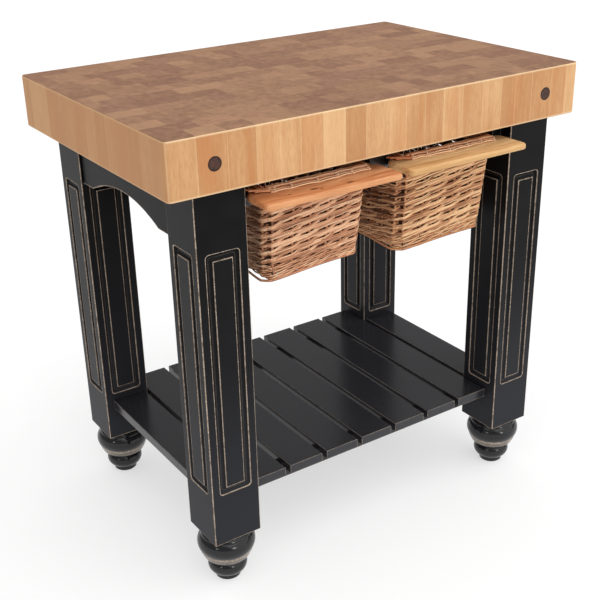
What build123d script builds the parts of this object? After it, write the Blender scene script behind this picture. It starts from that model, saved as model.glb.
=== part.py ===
from build123d import *
import os

# Kitchen work table: an end-grain block on a painted base, a slatted shelf and two willow baskets.
# Millimetres. +X runs right along the long front, -Y points out of the front, +Z is up. Positions
# below are from the floor under the middle of the block. The saved pieces are moved back by
# BLOCK_CENTRE_Y, so that their origin is the middle of the whole table with its basket boards.

# Overall sizes
TABLE_HEIGHT = 914.4
TOP_LENGTH = 914.4
TOP_WIDTH = 609.6
TOP_THICKNESS = 101.6
TOP_UNDERSIDE = TABLE_HEIGHT - TOP_THICKNESS
TOP_CORNER_RADIUS = 9.5
TOP_EDGE_RADIUS = 3.0

# Legs
LEG_SIZE = 100.0
LEG_X = 354.2
LEG_Y = 234.8
LEG_BOTTOM = 115.0
LEG_INNER_X = LEG_X - LEG_SIZE / 2
LEG_INNER_Y = LEG_Y - LEG_SIZE / 2
LEG_EDGE_RADIUS = 2.0
LEG_END_RADIUS = 1.0

# Routed frame on each leg face, cut with a round-nosed bit
GROOVE_BIT_RADIUS = 7.0
GROOVE_DEPTH = 5.5
GROOVE_PATH_WIDTH = 52.5
GROOVE_PATH_BOTTOM = 230.5
GROOVE_PATH_TOP = 695.5

# Aprons and their joints
APRON_THICKNESS = 20.0
APRON_SETBACK = 5.2
APRON_BOTTOM = 710.8
ARCH_SHOULDER = 45.0
ARCH_RISE = 31.0
DOWEL_RADIUS = 5.0
DOWEL_HALF_LENGTH = 25.0
DOWEL_END_ROOM = 1.0
APRON_DOWEL_HEIGHTS = (738.0, 788.0)

# Cleats that hold the block down
CLEAT_WIDTH = 25.0
CLEAT_HEIGHT = 35.0
SIDE_CLEAT_LENGTH = 300.0
BACK_CLEAT_LENGTH = 500.0
SIDE_CLEAT_BOLT_Y = (-110.0, 0.0, 110.0)
BACK_CLEAT_BOLT_X = (-200.0, 0.0, 200.0)
SIDE_CLEAT_SCREW_Y = (-55.0, 55.0)
BACK_CLEAT_SCREW_X = (-100.0, 100.0)
CLEAT_SCREW_HEIGHT = 795.0
CLEAT_BOLT_BITE = 40.0
CLEAT_SCREW_BITE = 14.0

# Rods that clamp the block together
TIE_ROD_X = 370.0
TIE_ROD_Z = TOP_UNDERSIDE + TOP_THICKNESS / 2
TIE_ROD_RADIUS = 4.75
TIE_ROD_HALF_LENGTH = 282.0
PLUG_LENGTH = 12.0
NUT_POCKET_RADIUS = 12.7
NUT_POCKET_DEPTH = 30.0
NUT_ACROSS_FLATS = 14.3
NUT_HEIGHT = 8.0
WASHER_RADIUS = 11.5
WASHER_THICKNESS = 2.0

# Feet, with the turned profile as (radius, height) points from the floor up
PAD_BOTTOM = (22.5, 0.0)
PAD_EDGE = (25.0, 2.5)
PAD_TOP = (25.0, 12.0)
LOWER_SWELL_START = (28.0, 13.0)
LOWER_SWELL_WIDEST = (38.8, 28.0)
NECK = (33.5, 44.0)
COVE_MIDDLE = (35.6, 50.6)
COVE_END = (43.0, 53.5)
RING_BOTTOM = (46.0, 53.5)
RING_TOP = (51.5, 65.0)
UPPER_SWELL_START = (51.8, 68.5)
UPPER_SWELL_WIDEST = (57.0, 82.0)
UPPER_SWELL_END = (50.0, 103.0)
SHOULDER_MIDDLE = (46.6, 109.5)
COLLAR_BOTTOM = (41.0, 113.0)
COLLAR_TOP = (41.0, LEG_BOTTOM)
STUD_RADIUS = 4.75
STUD_BOTTOM = 76.0
STUD_TOP = 164.0

# Shelf
SLAT_WIDTH = 76.2
SLAT_THICKNESS = 19.0
SLAT_TOP = 208.0
SLAT_UNDERSIDE = SLAT_TOP - SLAT_THICKNESS
SLAT_PITCH = 87.75
SLAT_LENGTH = 514.0
INNER_SLATS = 7
OUTER_SLAT_X = 349.0
OUTER_SLAT_GAP = 0.4
SLAT_EDGE_RADIUS = 2.0
SLAT_SCREW_OFFSETS = (-14.0, 14.0)
OUTER_SLAT_SCREW_Y = (-150.0, 0.0, 150.0)
SLAT_SCREW_BITE = 13.0
SHELF_RAIL_WIDTH = 20.0
SHELF_RAIL_HEIGHT = 34.0
SHELF_RAIL_BOTTOM = SLAT_UNDERSIDE - SHELF_RAIL_HEIGHT
SHELF_RAIL_Y = 205.0
SHELF_RAIL_X = LEG_X
SHELF_DOWEL_RADIUS = 4.0
SHELF_DOWEL_HALF_LENGTH = 20.0
SHELF_DOWEL_HEIGHTS = (164.0, 180.0)

# Basket runners under the block
RUNNER_FRONT = -257.0
RUNNER_BACK = 225.0
LEDGE_TOP = 773.3
LEDGE_THICKNESS = 12.0
LEDGE_BOTTOM = LEDGE_TOP - LEDGE_THICKNESS
CENTRE_HANGER_HALF = 22.0
CENTRE_LEDGE_HALF = 32.0
SIDE_HANGER_INNER = 281.5
SIDE_LEDGE_INNER = 272.0
RUNNER_BOLT_Y = (-225.0, -15.0, 195.0)
RUNNER_BOLT_BITE = 22.0

# Baskets
BASKET_X = 152.0
BOARD_WIDTH = 286.0
BOARD_FRONT = -340.0
BOARD_BACK = -258.0
BOARD_TOP = 786.5
BOARD_THICKNESS = 12.7
BOARD_BOTTOM = BOARD_TOP - BOARD_THICKNESS
BOARD_FRONT_CORNER = 9.0
BOARD_BACK_CORNER = 20.0
BOARD_EDGE_RADIUS = 5.0
RIM_HALF_WIDTH = 128.0
RIM_RAIL_WIDTH = 27.0
RIM_BACK = 165.0
WOVEN_TOP_SIZES = {"left": (224.0, 427.0), "right": (232.0, 427.0)}
WOVEN_BOTTOM_SIZES = {"left": (212.0, 387.0), "right": (221.0, 387.0)}
WOVEN_SHIFTS = {"left": 3.0, "right": 1.5}
WOVEN_CENTRE_Y = -63.0
WOVEN_WALL = 8.0
WOVEN_CORNER = 14.0
BASKET_FLOORS = {"left": 617.0, "right": 601.0}
RIM_DOWEL_RADIUS = 3.0
RIM_DOWEL_HALF_LENGTH = 18.0

# Willow rods of the basket borders, lying on the rim
ROD_RADIUS = 3.2
ROD_SPACING = 5.8
ROD_LAYER_RISE = 5.4
LOWER_BUNDLE_Y = -287.8
LOWER_BUNDLE_HALF_LENGTH = 106.0
LOWER_BUNDLE_RODS = 4
UPPER_BUNDLE_Y = -285.0
UPPER_BUNDLE_HALF_LENGTH = 102.0
UPPER_BUNDLE_RODS = 3
SIDE_BORDER_OFFSET = 110.0
SIDE_BORDER_FRONT = -266.0
SIDE_BORDER_BACK = 150.0
BACK_BORDER_Y = 142.0
BACK_BORDER_HALF_LENGTH = 96.0
EDGE_BORDER_RODS = 2

# Screws and the clearance of every bore around its pin
BORE_CLEARANCE = 0.15
SCREW_RADIUS = 2.25
SCREW_HEAD_RADIUS = 4.5
SCREW_HEAD_HEIGHT = 3.0
BOLT_RADIUS = 3.0
BOLT_HEAD_RADIUS = 6.5
BOLT_HEAD_HEIGHT = 4.0
BORE_END_ROOM = 1.0

BLOCK_CENTRE_Y = -(BOARD_FRONT + TOP_WIDTH / 2) / 2

UP = (0, 0, 0)
TOWARDS_PLUS_X = (0, 90, 0)
TOWARDS_MINUS_X = (0, -90, 0)
TOWARDS_PLUS_Y = (-90, 0, 0)
TOWARDS_MINUS_Y = (90, 0, 0)
FROM_BASE = (Align.CENTER, Align.CENTER, Align.MIN)
SIDES = {"left": -1, "right": 1}
ENDS = {"front": -1, "back": 1}

os.makedirs("parts", exist_ok=True)


def save(builder, node):
    """Label one piece and write it, with the origin moved to the middle of the whole table."""
    builder.part.label = node
    placed = builder.part.moved(Location((0, BLOCK_CENTRE_Y, 0)))
    export_step(placed, f"parts/{node}.step")


def pin(position, direction, radius, length, mode=Mode.ADD):
    """Round bar that starts at position and runs in the given direction."""
    with Locations(Location(position, direction)):
        Cylinder(radius, length, align=FROM_BASE, mode=mode)


def bore(position, direction, radius, length):
    """Clearance hole for a bar of the given radius."""
    pin(position, direction, radius + BORE_CLEARANCE, length, Mode.SUBTRACT)


def centred_pin(position, direction, radius, half_length, mode=Mode.ADD):
    """Round bar that is centred on position."""
    with Locations(Location(position, direction)):
        Cylinder(radius, 2 * half_length, mode=mode)


def centred_bore(position, direction, radius, half_length):
    """Clearance hole for a dowel, with a little room at both ends."""
    half_bore = half_length + DOWEL_END_ROOM
    centred_pin(position, direction, radius + BORE_CLEARANCE, half_bore, Mode.SUBTRACT)


def bar(x_range, y_range, z_range, mode=Mode.ADD):
    """Straight bar between the given limits."""
    sizes = [high - low for low, high in (x_range, y_range, z_range)]
    middle = [(high + low) / 2 for low, high in (x_range, y_range, z_range)]
    with Locations(tuple(middle)):
        Box(*sizes, mode=mode)


def mirrored(side, near, far):
    """Range between two distances from the middle plane, on the given side."""
    return tuple(sorted((side * near, side * far)))


# Joints shared by two or more pieces: one position per pin
SIDE_APRON_X = LEG_X + LEG_SIZE / 2 - APRON_SETBACK - APRON_THICKNESS / 2
BACK_APRON_Y = LEG_Y + LEG_SIZE / 2 - APRON_SETBACK - APRON_THICKNESS / 2
SIDE_APRON_DOWELS = [
    (side * SIDE_APRON_X, end * LEG_INNER_Y, height)
    for side in SIDES.values()
    for end in ENDS.values()
    for height in APRON_DOWEL_HEIGHTS
]
BACK_APRON_DOWELS = [
    (side * LEG_INNER_X, BACK_APRON_Y, height)
    for side in SIDES.values()
    for height in APRON_DOWEL_HEIGHTS
]
LONG_RAIL_DOWELS = [
    (side * LEG_INNER_X, end * SHELF_RAIL_Y, height)
    for side in SIDES.values()
    for end in ENDS.values()
    for height in SHELF_DOWEL_HEIGHTS
]
SHORT_RAIL_DOWELS = [
    (side * SHELF_RAIL_X, end * LEG_INNER_Y, height)
    for side in SIDES.values()
    for end in ENDS.values()
    for height in SHELF_DOWEL_HEIGHTS
]
SIDE_CLEAT_X = SIDE_APRON_X - APRON_THICKNESS / 2 - CLEAT_WIDTH / 2
BACK_CLEAT_Y = BACK_APRON_Y - APRON_THICKNESS / 2 - CLEAT_WIDTH / 2
CLEAT_BOTTOM = TOP_UNDERSIDE - CLEAT_HEIGHT
SIDE_CLEAT_BOLTS = [
    (side * SIDE_CLEAT_X, y, CLEAT_BOTTOM) for side in SIDES.values() for y in SIDE_CLEAT_BOLT_Y
]
BACK_CLEAT_BOLTS = [(x, BACK_CLEAT_Y, CLEAT_BOTTOM) for x in BACK_CLEAT_BOLT_X]
CLEAT_BOLTS = SIDE_CLEAT_BOLTS + BACK_CLEAT_BOLTS
CLEAT_BOLT_LENGTH = CLEAT_HEIGHT - BOLT_HEAD_HEIGHT + CLEAT_BOLT_BITE
SIDE_CLEAT_FACE = SIDE_CLEAT_X - CLEAT_WIDTH / 2
BACK_CLEAT_FACE = BACK_CLEAT_Y - CLEAT_WIDTH / 2
SIDE_CLEAT_SCREWS = {
    name: [(side * SIDE_CLEAT_FACE, y, CLEAT_SCREW_HEIGHT) for y in SIDE_CLEAT_SCREW_Y]
    for name, side in SIDES.items()
}
BACK_CLEAT_SCREWS = [(x, BACK_CLEAT_FACE, CLEAT_SCREW_HEIGHT) for x in BACK_CLEAT_SCREW_X]
CLEAT_SCREW_LENGTH = CLEAT_WIDTH - SCREW_HEAD_HEIGHT + CLEAT_SCREW_BITE
SIDE_HANGER_X = (SIDE_HANGER_INNER + LEG_INNER_X) / 2
RUNNER_BOLTS = [
    (x, y, LEDGE_BOTTOM) for x in (-SIDE_HANGER_X, 0, SIDE_HANGER_X) for y in RUNNER_BOLT_Y
]
RUNNER_BOLT_LENGTH = TOP_UNDERSIDE - LEDGE_BOTTOM - BOLT_HEAD_HEIGHT + RUNNER_BOLT_BITE
SLAT_CENTRES = [(number - (INNER_SLATS - 1) / 2) * SLAT_PITCH for number in range(INNER_SLATS)]
INNER_SLAT_SCREWS = [
    (x + offset, end * SHELF_RAIL_Y, SHELF_RAIL_BOTTOM)
    for x in SLAT_CENTRES
    for offset in SLAT_SCREW_OFFSETS
    for end in ENDS.values()
]
OUTER_SLAT_SCREWS = [
    (side * SHELF_RAIL_X, y, SHELF_RAIL_BOTTOM) for side in SIDES.values() for y in OUTER_SLAT_SCREW_Y
]
SLAT_SCREW_LENGTH = SHELF_RAIL_HEIGHT - SCREW_HEAD_HEIGHT + SLAT_SCREW_BITE


# Block, with its clamping rods bored through from front to back
TOP_BLANK = Plane.XY.offset(TOP_UNDERSIDE)
with BuildPart() as block_top:
    with BuildSketch(TOP_BLANK):
        RectangleRounded(TOP_LENGTH, TOP_WIDTH, TOP_CORNER_RADIUS)
    extrude(amount=TOP_THICKNESS)
    flat_faces = block_top.faces().filter_by(Axis.Z)
    fillet(flat_faces.edges(), TOP_EDGE_RADIUS)
    for side in SIDES.values():
        centred_bore((side * TIE_ROD_X, 0, TIE_ROD_Z), TOWARDS_PLUS_Y, TIE_ROD_RADIUS, TOP_WIDTH / 2)
        for end, inward in ((-1, TOWARDS_PLUS_Y), (1, TOWARDS_MINUS_Y)):
            mouth = (side * TIE_ROD_X, end * TOP_WIDTH / 2, TIE_ROD_Z)
            pin(mouth, inward, NUT_POCKET_RADIUS, NUT_POCKET_DEPTH, Mode.SUBTRACT)
    for position in CLEAT_BOLTS:
        bore(position, UP, BOLT_RADIUS, BOLT_HEAD_HEIGHT + CLEAT_BOLT_LENGTH + BORE_END_ROOM)
    for position in RUNNER_BOLTS:
        bore(position, UP, BOLT_RADIUS, BOLT_HEAD_HEIGHT + RUNNER_BOLT_LENGTH + BORE_END_ROOM)
save(block_top, "block_top")

with BuildPart() as tie_rods:
    for side in SIDES.values():
        middle = (side * TIE_ROD_X, 0, TIE_ROD_Z)
        centred_pin(middle, TOWARDS_PLUS_Y, TIE_ROD_RADIUS, TIE_ROD_HALF_LENGTH)
save(tie_rods, "tie_rods")

WASHER_SEAT = TOP_WIDTH / 2 - NUT_POCKET_DEPTH
with BuildPart() as tie_rod_washers:
    for side in SIDES.values():
        for end, outward in ((-1, TOWARDS_MINUS_Y), (1, TOWARDS_PLUS_Y)):
            seat = (side * TIE_ROD_X, end * WASHER_SEAT, TIE_ROD_Z)
            pin(seat, outward, WASHER_RADIUS, WASHER_THICKNESS)
        centred_bore((side * TIE_ROD_X, 0, TIE_ROD_Z), TOWARDS_PLUS_Y, TIE_ROD_RADIUS, TOP_WIDTH / 2)
save(tie_rod_washers, "tie_rod_washers")

with BuildPart() as tie_rod_nuts:
    for end in ENDS.values():
        seat = (0, end * (WASHER_SEAT + WASHER_THICKNESS), TIE_ROD_Z)
        nut_seat = Plane(origin=seat, x_dir=(1, 0, 0), z_dir=(0, end, 0))
        with BuildSketch(nut_seat):
            with Locations((-TIE_ROD_X, 0), (TIE_ROD_X, 0)):
                RegularPolygon(NUT_ACROSS_FLATS / 2, 6, major_radius=False)
        extrude(amount=NUT_HEIGHT)
    for side in SIDES.values():
        centred_bore((side * TIE_ROD_X, 0, TIE_ROD_Z), TOWARDS_PLUS_Y, TIE_ROD_RADIUS, TOP_WIDTH / 2)
save(tie_rod_nuts, "tie_rod_nuts")

with BuildPart() as tie_rod_plugs:
    for side in SIDES.values():
        for end, inward in ((-1, TOWARDS_PLUS_Y), (1, TOWARDS_MINUS_Y)):
            face = (side * TIE_ROD_X, end * TOP_WIDTH / 2, TIE_ROD_Z)
            pin(face, inward, NUT_POCKET_RADIUS - BORE_CLEARANCE, PLUG_LENGTH)
save(tie_rod_plugs, "tie_rod_plugs")


def rout_face(face_plane):
    """Cut one closed rectangular groove with a round-nosed bit into a leg face."""
    lift = GROOVE_BIT_RADIUS - GROOVE_DEPTH
    half = GROOVE_PATH_WIDTH / 2
    middle = (GROOVE_PATH_TOP + GROOVE_PATH_BOTTOM) / 2
    half_height = (GROOVE_PATH_TOP - GROOVE_PATH_BOTTOM) / 2
    for u in (-half, half):
        upright = face_plane.from_local_coords((u, middle, lift))
        centred_pin(upright, UP, GROOVE_BIT_RADIUS, half_height, Mode.SUBTRACT)
    across = TOWARDS_PLUS_X if abs(face_plane.x_dir.X) > abs(face_plane.x_dir.Y) else TOWARDS_PLUS_Y
    for height in (GROOVE_PATH_BOTTOM, GROOVE_PATH_TOP):
        level = face_plane.from_local_coords((0, height, lift))
        centred_pin(level, across, GROOVE_BIT_RADIUS, half, Mode.SUBTRACT)
        for u in (-half, half):
            with Locations(face_plane.from_local_coords((u, height, lift))):
                Sphere(GROOVE_BIT_RADIUS, mode=Mode.SUBTRACT)


# Legs: four square posts, routed on all four faces
for side_name, side in SIDES.items():
    for end_name, end in ENDS.items():
        centre = Vector(side * LEG_X, end * LEG_Y, 0)
        half = LEG_SIZE / 2
        leg_blank = Plane(origin=(centre.X, centre.Y, LEG_BOTTOM))
        with BuildPart() as leg:
            with BuildSketch(leg_blank):
                Rectangle(LEG_SIZE, LEG_SIZE)
            extrude(amount=TOP_UNDERSIDE - LEG_BOTTOM)
            fillet(leg.edges().filter_by(Axis.Z), LEG_EDGE_RADIUS)
            fillet(leg.faces().sort_by(Axis.Z)[0].edges(), LEG_END_RADIUS)
            for normal in (Vector(1, 0, 0), Vector(-1, 0, 0), Vector(0, 1, 0), Vector(0, -1, 0)):
                sideways = Vector(0, 0, 1).cross(normal)
                rout_face(Plane(origin=centre + normal * half, x_dir=sideways, z_dir=normal))
            bore((centre.X, centre.Y, LEG_BOTTOM), UP, STUD_RADIUS, STUD_TOP - LEG_BOTTOM + BORE_END_ROOM)
            for position in SIDE_APRON_DOWELS:
                centred_bore(position, TOWARDS_PLUS_Y, DOWEL_RADIUS, DOWEL_HALF_LENGTH)
            for position in BACK_APRON_DOWELS:
                centred_bore(position, TOWARDS_PLUS_X, DOWEL_RADIUS, DOWEL_HALF_LENGTH)
            for position in LONG_RAIL_DOWELS:
                centred_bore(position, TOWARDS_PLUS_X, SHELF_DOWEL_RADIUS, SHELF_DOWEL_HALF_LENGTH)
            for position in SHORT_RAIL_DOWELS:
                centred_bore(position, TOWARDS_PLUS_Y, SHELF_DOWEL_RADIUS, SHELF_DOWEL_HALF_LENGTH)
        save(leg, f"leg_{end_name}_{side_name}")


# Feet: turned, two swellings with a flared ring and a hollow between them
for side_name, side in SIDES.items():
    for end_name, end in ENDS.items():
        axis_point = (side * LEG_X, end * LEG_Y, 0)
        lathe_plane = Plane(origin=axis_point, x_dir=(1, 0, 0), z_dir=(0, -1, 0))
        with BuildPart() as foot:
            with BuildSketch(lathe_plane):
                with BuildLine():
                    Polyline((0, 0), PAD_BOTTOM, PAD_EDGE, PAD_TOP, LOWER_SWELL_START)
                    ThreePointArc(LOWER_SWELL_START, LOWER_SWELL_WIDEST, NECK)
                    ThreePointArc(NECK, COVE_MIDDLE, COVE_END)
                    Polyline(COVE_END, RING_BOTTOM, RING_TOP, UPPER_SWELL_START)
                    ThreePointArc(UPPER_SWELL_START, UPPER_SWELL_WIDEST, UPPER_SWELL_END)
                    ThreePointArc(UPPER_SWELL_END, SHOULDER_MIDDLE, COLLAR_BOTTOM)
                    Polyline(COLLAR_BOTTOM, COLLAR_TOP, (0, LEG_BOTTOM), (0, 0))
                make_face()
            revolve(axis=Axis(axis_point, (0, 0, 1)))
            bore((axis_point[0], axis_point[1], STUD_BOTTOM - BORE_END_ROOM), UP, STUD_RADIUS, LEG_BOTTOM)
        save(foot, f"foot_{end_name}_{side_name}")

with BuildPart() as foot_studs:
    for side in SIDES.values():
        for end in ENDS.values():
            pin((side * LEG_X, end * LEG_Y, STUD_BOTTOM), UP, STUD_RADIUS, STUD_TOP - STUD_BOTTOM)
save(foot_studs, "foot_studs")


def apron_outline(span):
    """Board outline with a shallow arch between two straight shoulders; u across, v up."""
    end = span / 2
    shoulder = end - ARCH_SHOULDER
    height = TOP_UNDERSIDE - APRON_BOTTOM
    with BuildLine() as outline:
        Polyline((-shoulder, 0), (-end, 0), (-end, height), (end, height), (end, 0), (shoulder, 0))
        ThreePointArc((shoulder, 0), (0, ARCH_RISE), (-shoulder, 0))
    make_face(outline.edges())


# Aprons: one on each side and one across the back
for side_name, side in SIDES.items():
    apron_plane = Plane(
        origin=(side * SIDE_APRON_X, 0, APRON_BOTTOM), x_dir=(0, 1, 0), z_dir=(1, 0, 0)
    )
    with BuildPart() as side_apron:
        with BuildSketch(apron_plane):
            apron_outline(2 * LEG_INNER_Y)
        extrude(amount=APRON_THICKNESS / 2, both=True)
        for position in SIDE_APRON_DOWELS:
            centred_bore(position, TOWARDS_PLUS_Y, DOWEL_RADIUS, DOWEL_HALF_LENGTH)
        for position in SIDE_CLEAT_SCREWS[side_name]:
            outward = TOWARDS_PLUS_X if side > 0 else TOWARDS_MINUS_X
            bore(position, outward, SCREW_RADIUS, SCREW_HEAD_HEIGHT + CLEAT_SCREW_LENGTH + BORE_END_ROOM)
    save(side_apron, f"apron_{side_name}")

with BuildPart() as apron_back:
    back_plane = Plane(origin=(0, BACK_APRON_Y, APRON_BOTTOM), x_dir=(1, 0, 0), z_dir=(0, -1, 0))
    with BuildSketch(back_plane):
        apron_outline(2 * LEG_INNER_X)
    extrude(amount=APRON_THICKNESS / 2, both=True)
    for position in BACK_APRON_DOWELS:
        centred_bore(position, TOWARDS_PLUS_X, DOWEL_RADIUS, DOWEL_HALF_LENGTH)
    for position in BACK_CLEAT_SCREWS:
        bore(position, TOWARDS_PLUS_Y, SCREW_RADIUS, SCREW_HEAD_HEIGHT + CLEAT_SCREW_LENGTH + BORE_END_ROOM)
save(apron_back, "apron_back")

with BuildPart() as apron_dowels:
    for position in SIDE_APRON_DOWELS:
        centred_pin(position, TOWARDS_PLUS_Y, DOWEL_RADIUS, DOWEL_HALF_LENGTH)
    for position in BACK_APRON_DOWELS:
        centred_pin(position, TOWARDS_PLUS_X, DOWEL_RADIUS, DOWEL_HALF_LENGTH)
save(apron_dowels, "apron_dowels")


def recessed_bore(position, direction, pin_radius, head_radius, head_height, length):
    """Hole for a screw whose head sits flush in the face it enters."""
    bore(position, direction, head_radius, head_height)
    bore(position, direction, pin_radius, length)


def screw(position, direction, pin_radius, head_radius, head_height, shank_length):
    """Screw whose head starts at position."""
    pin(position, direction, head_radius, head_height)
    pin(position, direction, pin_radius, head_height + shank_length)


def cleat_bores():
    for position in CLEAT_BOLTS:
        recessed_bore(position, UP, BOLT_RADIUS, BOLT_HEAD_RADIUS, BOLT_HEAD_HEIGHT, CLEAT_HEIGHT)


# Cleats screwed inside the aprons, with bolts up into the block
for side_name, side in SIDES.items():
    outward = TOWARDS_PLUS_X if side > 0 else TOWARDS_MINUS_X
    with BuildPart() as side_cleat:
        bar(
            mirrored(side, SIDE_CLEAT_X - CLEAT_WIDTH / 2, SIDE_CLEAT_X + CLEAT_WIDTH / 2),
            (-SIDE_CLEAT_LENGTH / 2, SIDE_CLEAT_LENGTH / 2),
            (CLEAT_BOTTOM, TOP_UNDERSIDE),
        )
        cleat_bores()
        for position in SIDE_CLEAT_SCREWS[side_name]:
            recessed_bore(
                position, outward, SCREW_RADIUS, SCREW_HEAD_RADIUS, SCREW_HEAD_HEIGHT, CLEAT_WIDTH
            )
    save(side_cleat, f"cleat_{side_name}")

with BuildPart() as cleat_back:
    bar(
        (-BACK_CLEAT_LENGTH / 2, BACK_CLEAT_LENGTH / 2),
        (BACK_CLEAT_Y - CLEAT_WIDTH / 2, BACK_CLEAT_Y + CLEAT_WIDTH / 2),
        (CLEAT_BOTTOM, TOP_UNDERSIDE),
    )
    cleat_bores()
    for position in BACK_CLEAT_SCREWS:
        recessed_bore(
            position, TOWARDS_PLUS_Y, SCREW_RADIUS, SCREW_HEAD_RADIUS, SCREW_HEAD_HEIGHT, CLEAT_WIDTH
        )
save(cleat_back, "cleat_back")

with BuildPart() as cleat_bolts:
    for position in CLEAT_BOLTS:
        screw(position, UP, BOLT_RADIUS, BOLT_HEAD_RADIUS, BOLT_HEAD_HEIGHT, CLEAT_BOLT_LENGTH)
save(cleat_bolts, "cleat_bolts")

with BuildPart() as cleat_screws:
    screw_size = (SCREW_RADIUS, SCREW_HEAD_RADIUS, SCREW_HEAD_HEIGHT, CLEAT_SCREW_LENGTH)
    for position in SIDE_CLEAT_SCREWS["left"]:
        screw(position, TOWARDS_MINUS_X, *screw_size)
    for position in SIDE_CLEAT_SCREWS["right"]:
        screw(position, TOWARDS_PLUS_X, *screw_size)
    for position in BACK_CLEAT_SCREWS:
        screw(position, TOWARDS_PLUS_Y, *screw_size)
save(cleat_screws, "cleat_screws")


# Runners: a hanger strip under the block with a wider ledge strip below it
RUNNERS = {
    "left": ((-LEG_INNER_X, -SIDE_HANGER_INNER), (-LEG_INNER_X, -SIDE_LEDGE_INNER)),
    "centre": ((-CENTRE_HANGER_HALF, CENTRE_HANGER_HALF), (-CENTRE_LEDGE_HALF, CENTRE_LEDGE_HALF)),
    "right": ((SIDE_HANGER_INNER, LEG_INNER_X), (SIDE_LEDGE_INNER, LEG_INNER_X)),
}
for name, (hanger_range, ledge_range) in RUNNERS.items():
    with BuildPart() as hanger:
        bar(hanger_range, (RUNNER_FRONT, RUNNER_BACK), (LEDGE_TOP, TOP_UNDERSIDE))
        for position in RUNNER_BOLTS:
            bore(position, UP, BOLT_RADIUS, TOP_UNDERSIDE - LEDGE_BOTTOM)
    save(hanger, f"hanger_{name}")
    with BuildPart() as ledge:
        bar(ledge_range, (RUNNER_FRONT, RUNNER_BACK), (LEDGE_BOTTOM, LEDGE_TOP))
        for position in RUNNER_BOLTS:
            recessed_bore(
                position, UP, BOLT_RADIUS, BOLT_HEAD_RADIUS, BOLT_HEAD_HEIGHT, LEDGE_THICKNESS
            )
    save(ledge, f"ledge_{name}")

with BuildPart() as runner_bolts:
    for position in RUNNER_BOLTS:
        screw(position, UP, BOLT_RADIUS, BOLT_HEAD_RADIUS, BOLT_HEAD_HEIGHT, RUNNER_BOLT_LENGTH)
save(runner_bolts, "runner_bolts")


def rail_bores():
    for position in INNER_SLAT_SCREWS + OUTER_SLAT_SCREWS:
        recessed_bore(
            position, UP, SCREW_RADIUS, SCREW_HEAD_RADIUS, SCREW_HEAD_HEIGHT, SHELF_RAIL_HEIGHT
        )


# Shelf rails, doweled between the legs
for end_name, end in ENDS.items():
    with BuildPart() as long_rail:
        near = SHELF_RAIL_Y - SHELF_RAIL_WIDTH / 2
        far = SHELF_RAIL_Y + SHELF_RAIL_WIDTH / 2
        bar((-LEG_INNER_X, LEG_INNER_X), mirrored(end, near, far), (SHELF_RAIL_BOTTOM, SLAT_UNDERSIDE))
        rail_bores()
        for position in LONG_RAIL_DOWELS:
            centred_bore(position, TOWARDS_PLUS_X, SHELF_DOWEL_RADIUS, SHELF_DOWEL_HALF_LENGTH)
    save(long_rail, f"shelf_rail_{end_name}")

for side_name, side in SIDES.items():
    with BuildPart() as short_rail:
        near = SHELF_RAIL_X - SHELF_RAIL_WIDTH / 2
        far = SHELF_RAIL_X + SHELF_RAIL_WIDTH / 2
        bar(mirrored(side, near, far), (-LEG_INNER_Y, LEG_INNER_Y), (SHELF_RAIL_BOTTOM, SLAT_UNDERSIDE))
        rail_bores()
        for position in SHORT_RAIL_DOWELS:
            centred_bore(position, TOWARDS_PLUS_Y, SHELF_DOWEL_RADIUS, SHELF_DOWEL_HALF_LENGTH)
    save(short_rail, f"shelf_rail_{side_name}")

with BuildPart() as shelf_dowels:
    for position in LONG_RAIL_DOWELS:
        centred_pin(position, TOWARDS_PLUS_X, SHELF_DOWEL_RADIUS, SHELF_DOWEL_HALF_LENGTH)
    for position in SHORT_RAIL_DOWELS:
        centred_pin(position, TOWARDS_PLUS_Y, SHELF_DOWEL_RADIUS, SHELF_DOWEL_HALF_LENGTH)
save(shelf_dowels, "shelf_dowels")

# Slats: seven full-length ones between the legs and a shorter one outside them on each side
slat_layout = [(x, SLAT_LENGTH) for x in SLAT_CENTRES]
outer_length = 2 * (LEG_INNER_Y - OUTER_SLAT_GAP)
slat_layout = [(-OUTER_SLAT_X, outer_length)] + slat_layout + [(OUTER_SLAT_X, outer_length)]
for number, (x, length) in enumerate(slat_layout, start=1):
    with BuildPart() as slat:
        edges = (x - SLAT_WIDTH / 2, x + SLAT_WIDTH / 2)
        bar(edges, (-length / 2, length / 2), (SLAT_UNDERSIDE, SLAT_TOP))
        fillet(slat.faces().sort_by(Axis.Z)[-1].edges(), SLAT_EDGE_RADIUS)
        for position in INNER_SLAT_SCREWS + OUTER_SLAT_SCREWS:
            bore(position, UP, SCREW_RADIUS, SCREW_HEAD_HEIGHT + SLAT_SCREW_LENGTH + BORE_END_ROOM)
    save(slat, f"slat_{number}")

with BuildPart() as slat_screws:
    for position in INNER_SLAT_SCREWS + OUTER_SLAT_SCREWS:
        screw(position, UP, SCREW_RADIUS, SCREW_HEAD_RADIUS, SCREW_HEAD_HEIGHT, SLAT_SCREW_LENGTH)
save(slat_screws, "slat_screws")


# Baskets: a lip board and a rim frame that rides on the ledges, with the woven body hung below
RIM_RAIL_MIDDLE = RIM_HALF_WIDTH - RIM_RAIL_WIDTH / 2
RIM_INNER = RIM_HALF_WIDTH - RIM_RAIL_WIDTH
RIM_DOWEL_Z = (BOARD_TOP + BOARD_BOTTOM) / 2
BACK_RAIL_FRONT = RIM_BACK - RIM_RAIL_WIDTH
BACK_RAIL_Y = RIM_BACK - RIM_RAIL_WIDTH / 2


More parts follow.
